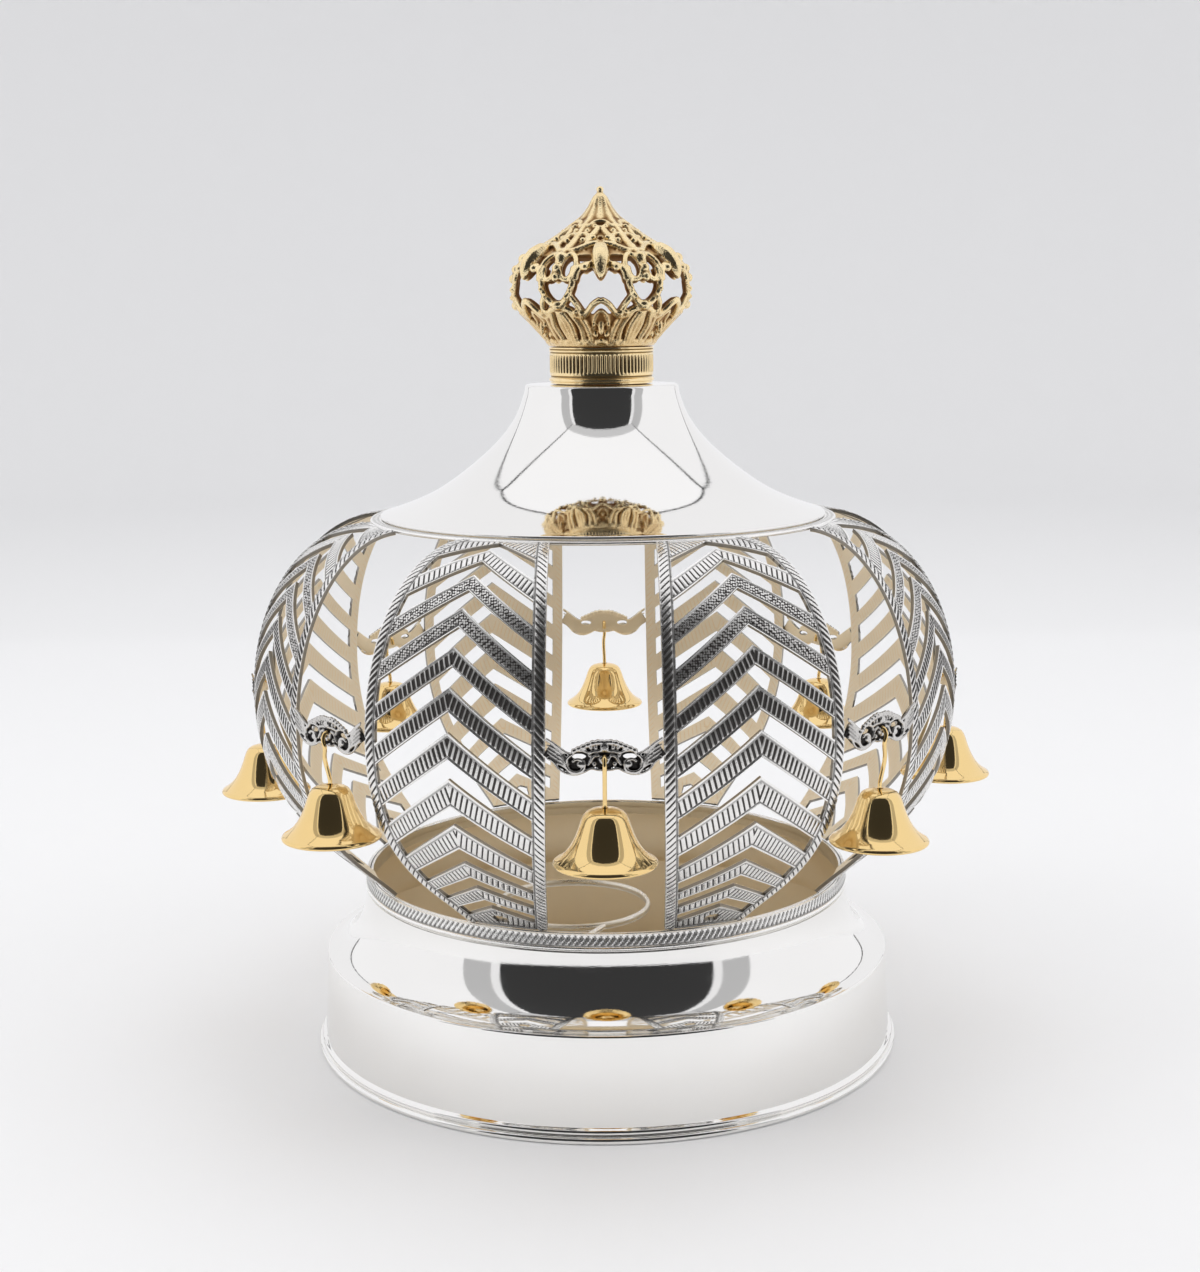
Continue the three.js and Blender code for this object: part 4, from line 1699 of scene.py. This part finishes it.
@dataclass
class Finial:
    """The cast gilt crown: six ribs, pierced calyx, acorn bosses, scroll roof and fluted spire."""

    sides: int = 6
    foot: float = 282.9
    top: float = 345.0
    voxel: float = 0.45
    keep: float = 0.48

    @staticmethod
    def outline(height: float) -> float:
        """Radius of the crown's silhouette.

        Args:
            height: Height in millimetres.

        Returns:
            The radius.
        """
        heights = [282.9, 285.1, 290.9, 297.6, 301.5, 305.4, 309.2]
        heights += [312.4, 315.4, 318.1, 323.1, 325.8, 330.9, 333.6]
        radii = [20.8, 22.3, 27.4, 33.4, 35.6, 35.9, 35.2]
        radii += [34.1, 32.2, 29.0, 20.5, 16.5, 10.4, 7.2]
        return float(np.interp(height, heights, radii))

    def at(self, angle: float, height: float, lift: float = 0.0) -> Vector:
        """A point over the silhouette.

        Args:
            angle: Angle from the front in degrees.
            height: Height in millimetres.
            lift: Distance outside the silhouette.

        Returns:
            The point.
        """
        radius = self.outline(height) + lift
        turn = math.radians(angle)
        return Vector((radius * math.sin(turn), -radius * math.cos(turn), height))

    def wire(
        self, marks: Sequence[tuple[float, float, float]], radius: float | Sequence[float]
    ) -> bpy.types.Object:
        """A cast wire over the silhouette.

        Args:
            marks: Angle, height and lift of its corners.
            radius: Its radius, or one for each corner.

        Returns:
            The wire.
        """
        route = Hook.rounded([self.at(*mark) for mark in marks], 4)
        if not isinstance(radius, (int, float)):
            at = np.linspace(0, len(marks) - 1, len(route))
            radius = np.interp(at, range(len(marks)), radius).tolist()
        return tube("cast_wire", route, radius)

    def scroll(self, angle: float, height: float, side: int) -> bpy.types.Object:
        """A tall volute lying on the silhouette.

        Args:
            angle: Angle of its centre in degrees.
            height: Height of its centre.
            side: Which way it turns, 1 or -1.

        Returns:
            The volute.
        """
        marks = []
        for i in range(15):
            t = i / 14
            turn = math.radians(150 - 430 * t) * -side
            shrink = 1 - 0.4 * max(t - 0.5, 0) * 2
            across = 3.7 * shrink * math.sin(turn)
            level = height + 5.3 * shrink * math.cos(turn)
            marks.append((angle + math.degrees(across / 35), level, -1.1 - 0.4 * t))
        return self.wire(marks, [1.25, *([1.15] * 13), 1.1])

    def sector(self, middle: float) -> list[bpy.types.Object]:
        """Everything between the middles of two neighbouring openings' ribs.

        Args:
            middle: Angle of the opening's middle in degrees.

        Returns:
            The parts.
        """
        parts = []
        rib = middle + 30
        for marks, radius in RIB_WIRES:
            parts.append(self.wire([(rib, z, lift) for z, lift in marks], radius))
        for height, lift, size in RIB_BEADS:
            parts.append(ball("bead", self.at(rib, height, lift), size, 8))
        for side in (-1, 1):
            parts.append(self.scroll(middle + side * 22.6, 312.6, side))
            for marks, lift, radius in SIDE_WIRES:
                parts.append(self.wire([(middle + side * angle, z, lift) for angle, z in marks], radius))
            for angle, height, lift, size in SIDE_BEADS:
                parts.append(ball("bead", self.at(middle + side * angle, height, lift), size, 6))
        parts.append(self.wire([(middle, z, lift) for z, lift in ACORN[0]], ACORN[1]))
        for height, lift, size in MIDDLE_BEADS:
            parts.append(ball("petal", self.at(middle, height, lift), size, 9))
        return parts

    def roof(self) -> list[bpy.types.Object]:
        """The spire, its shell and the calyx's lower rim.

        Returns:
            The parts.
        """
        spire = [
            (0.0, 344.8),
            (0.9, 344.6),
            (1.45, 343.9),
            (1.5, 343.2),
            (1.1, 342.4),
            (2.5, 341.0),
            (3.4, 339.4),
            (4.6, 337.0),
            (6.2, 334.8),
            (8.2, 332.4),
            (10.2, 330.6),
            (13.4, 328.0),
            (16.2, 325.4),
            (20.0, 322.4),
            (24.0, 320.0),
            (28.0, 317.8),
        ]
        lining = [(27.2, 316.2), (22.0, 319.0), (15.0, 323.6), (9.0, 328.6), (4.0, 331.6), (0.0, 332.6)]
        shell = lathe("roof", [*spire, *lining], 72, closed=False)
        points = positions(shell) / MM
        turn = np.arctan2(points[:, 0], -points[:, 1])
        height = points[:, 2]
        radius = np.hypot(points[:, 0], points[:, 1])
        flute = np.cos(turn * 12) * 0.28 * ((height > 331) & (height < 341))
        wave = np.cos(turn * 6) * 0.8 * (height < 331) * (radius > 4)
        points[:, :2] *= (1 + (flute - np.clip(wave, -1, 1) * 0.5) / np.maximum(radius, 1))[:, None]
        set_positions(shell, points * MM)
        heights = (self.foot, 284.6, 287.0, 290.0, 293.0, 295.4)
        cup = [(self.outline(z) - 2.0, z) for z in heights]
        cup_lining = [(self.outline(z) - 3.0, z) for z in reversed(heights)]
        section = [(20.9, self.foot), (21.6, 284.0), *cup[1:], *cup_lining[:-1], (18.9, self.foot)]
        return [shell, lathe("calyx_rim", section, 72)]

    def pierce(self, piece: bpy.types.Object) -> None:
        """Drills the roof's two rows of small holes.

        Args:
            piece: The joined roof.
        """
        drills = []
        for k in range(2 * self.sides):
            angle = 15 + 30 * k
            drills.append(tube("drill", [self.at(angle, 321.6, 4), self.at(angle, 318.0, -9)], 1.5))
            angle += 15
            drills.append(tube("drill", [self.at(angle, 326.2, 4), self.at(angle, 322.0, -8)], 1.0))
        cutter = join("drills", drills)
        apply_modifier(piece, "BOOLEAN", operation="DIFFERENCE", object=cutter, solver="EXACT", use_self=True)
        bpy.data.objects.remove(cutter)

    def build(self, finishes: Finishes) -> None:
        """Builds and dresses the finial crown.

        Args:
            finishes: The crown's metals.
        """
        shell, rim = self.roof()
        self.pierce(shell)
        parts = [shell, rim]
        for k in range(self.sides):
            parts += self.sector(60.0 * k)
        piece = join("finial_crown_casting", parts)
        cast(piece, self.voxel, self.keep)
        points = positions(piece)
        points[:, 2] = np.clip(points[:, 2], self.foot * MM, self.top * MM)
        set_positions(piece, points)
        # Painted shade: the hollows and the parts sunk under the silhouette are darkened and browned in the
        # colour, and the calyx is painted darker towards its foot.
        hollow = recesses(piece, 7, 3.4)
        radius = np.hypot(points[:, 0], points[:, 1]) / MM
        height = points[:, 2] / MM
        sheath = np.array([self.outline(z) for z in height])
        sunk = np.clip((sheath - radius - 1.3) / 1.2, 0, 1) * (height < 330)
        calyx = np.clip((298 - height) / 4, 0, 1) * 0.35
        toned_and_shaded = np.maximum(hollow * 1.6, sunk * 0.9) + calyx
        write_tooling_and_shade(piece, np.maximum(hollow, sunk * 0.45), toned_and_shaded, sunk * 0.75)
        smooth(piece, 60)
        hand_in(piece, finishes.antique, "antique_gold", "finial_crown")


# ---------------------------------------------------------------- studio


@dataclass
class Studio:
    """The pale floor, the soft light and the camera."""

    lens: float = 57.546
    camera_place: tuple[float, float, float] = (0.0008, -0.7702, 0.2981)
    pitch: float = 9.735
    yaw: float = 0.177
    roll: float = -0.519
    tent_half: float = 0.8
    tent_front: float = -0.66
    tent_back: float = 0.97
    tent_top: float = 1.57
    sky: tuple[float, float, float] = (0.93, 0.93, 0.94)
    sky_strength: float = 0.98
    floor_colour: tuple[float, float, float] = (0.87, 0.87, 0.875)

    @staticmethod
    def plain(
        name: str, colour: tuple[float, float, float], rough: float, glow: float = 0.0
    ) -> bpy.types.Material:
        """A plain studio surface.

        Args:
            name: The material's name.
            colour: Its colour, or the colour of its glow.
            rough: Its roughness.
            glow: Light that it gives off. A glowing surface reflects none.

        Returns:
            The material.
        """
        material, _, shader = new_material(name)
        shader.inputs["Base Color"].default_value = (0, 0, 0, 1) if glow else (*colour, 1)
        shader.inputs["Roughness"].default_value = rough
        shader.inputs["Specular IOR Level"].default_value = 0.1
        shader.inputs["Emission Color"].default_value = (*colour, 1)
        shader.inputs["Emission Strength"].default_value = glow
        return material

    def card(
        self,
        name: str,
        centre: tuple[float, float, float],
        size: tuple[float, float],
        face: Vector,
        shade: float,
    ) -> None:
        """A card that only the metal's reflections see.

        Args:
            name: The card's name.
            centre: Its centre in metres.
            size: Its width and height in metres.
            face: The direction in which it faces.
            shade: How bright it is.
        """
        deselect()
        bpy.ops.mesh.primitive_plane_add(size=1)
        plate = bpy.context.object
        plate.name = name
        turn = face.to_track_quat("Z", "Y").to_matrix().to_4x4()
        scale = Matrix.Diagonal((*size, 1, 1))
        plate.data.transform(Matrix.Translation(centre) @ turn @ scale)
        plate.data.materials.append(self.plain(name, (shade, shade, shade * 1.02), 0.9, 1.0))
        self.reflected_only(plate)

    def tent(self) -> None:
        """Sets the light tent round the crown: bright walls, dark seams and an open front."""
        half, front, back, top = self.tent_half, self.tent_front, self.tent_back, self.tent_top
        depth, middle = back - front, (back + front) / 2
        away, down = Vector((0, 1, 0)), Vector((0, 0, -1))
        self.card("tent_back", (0, back, top / 2), (2 * half, top), -away, 0.9)
        self.card("tent_ceiling", (0, middle, top), (2 * half, depth), down, 0.98)
        self.card("tent_open_front", (0, front, top / 2), (1.36, top), away, 0.035)
        for side, word in ((-1, "left"), (1, "right")):
            face = Vector((-side, 0, 0))
            wall, flap = side * half, (side * (half - 0.005), front + 0.13, top / 2)
            self.card(f"tent_{word}", (wall, middle, top / 2), (depth, top), face, 0.94)
            self.card(f"tent_edge_{word}", (side * 0.74, front, top / 2), (0.12, top), away, 0.85)
            self.card(f"tent_flap_{word}", flap, (0.26, top), face, 0.5)
            self.seam(f"ceiling_seam_{word}", (wall, front, top), (wall, back, top), 14)
            self.seam(f"corner_seam_{word}", (wall, back, 0.0), (wall, back, top), 14)
        self.card("tent_lintel", (0, front + 0.12, top - 0.004), (2 * half, 0.24), down, 0.6)
        self.seam("back_seam", (-half, back, top), (half, back, top), 24)

    def seam(self, name: str, start: tuple[float, ...], end: tuple[float, ...], radius: float) -> None:
        """A dark seam that only the metal's reflections see.

        Args:
            name: The seam's name.
            start: One end in metres.
            end: The other end.
            radius: Its radius in millimetres.
        """
        rod = tube(name, [Vector(start) / MM, Vector(end) / MM], radius)
        rod.data.materials.append(self.plain(name, (0, 0, 0), 0.9))
        self.reflected_only(rod)

    @staticmethod
    def reflected_only(piece: bpy.types.Object) -> None:
        """Leaves a studio piece visible only in reflections."""
        piece.visible_camera = False
        piece.visible_diffuse = False
        piece.visible_shadow = False

    @staticmethod
    def lamp(name: str, place: tuple[float, float, float], size: float, power: float) -> None:
        """A soft square lamp that faces the crown.

        Args:
            name: The lamp's name.
            place: Its place in metres.
            size: Its side in metres.
            power: Its power in watts.
        """
        data = bpy.data.lights.new(name, "AREA")
        data.size = size
        data.energy = power
        lamp = bpy.data.objects.new(name, data)
        lamp.location = place
        lamp.rotation_mode = "QUATERNION"
        lamp.rotation_quaternion = (Vector((0, 0, 0.15)) - Vector(place)).to_track_quat("-Z", "Y")
        bpy.context.collection.objects.link(lamp)

    def build(self) -> None:
        """Builds the studio."""
        sweep = [(0.0, 0.0), (1500.0, 0.0), *arc((2300, 900), 900, -90, 0, 16), (3200.0, 2600.0)]
        floor = lathe("floor", sweep, 96, closed=False)
        smooth(floor, 60)
        floor.data.materials.append(self.plain("pale_floor", self.floor_colour, 0.75))
        world = bpy.data.worlds.new("studio")
        bpy.context.scene.world = world
        world.use_nodes = True
        background = world.node_tree.nodes["Background"]
        background.inputs["Color"].default_value = (*self.sky, 1)
        background.inputs["Strength"].default_value = self.sky_strength
        bpy.context.scene.view_settings.view_transform = "Standard"
        self.lamp("key", (-1.3, -0.5, 1.3), 1.0, 5)
        self.lamp("fill", (1.4, -0.3, 1.1), 1.0, 3.5)
        self.lamp("overhead", (0.1, 0.3, 1.9), 1.4, 5)
        self.tent()
        camera_data = bpy.data.cameras.new("camera")
        camera_data.sensor_width = 36
        camera_data.sensor_fit = "HORIZONTAL"
        camera_data.lens = self.lens
        camera = bpy.data.objects.new("camera", camera_data)
        turn = (
            Matrix.Rotation(math.radians(self.yaw), 4, "Z")
            @ Matrix.Rotation(math.radians(90 - self.pitch), 4, "X")
            @ Matrix.Rotation(math.radians(self.roll), 4, "Z")
        )
        camera.matrix_world = Matrix.Translation(self.camera_place) @ turn
        bpy.context.collection.objects.link(camera)
        bpy.context.scene.camera = camera


def main() -> None:
    """Builds the crown and its studio."""
    logging.basicConfig(level=logging.INFO, format="%(message)s", stream=sys.stdout)
    finishes = make_finishes()
    Studio().build()
    for part in (Base(), LowerBand(), TopRing(), Dome(), Collar(), Finial(), Cage()):
        part.build(finishes)
    deselect()


if __name__ == "__main__":
    main()
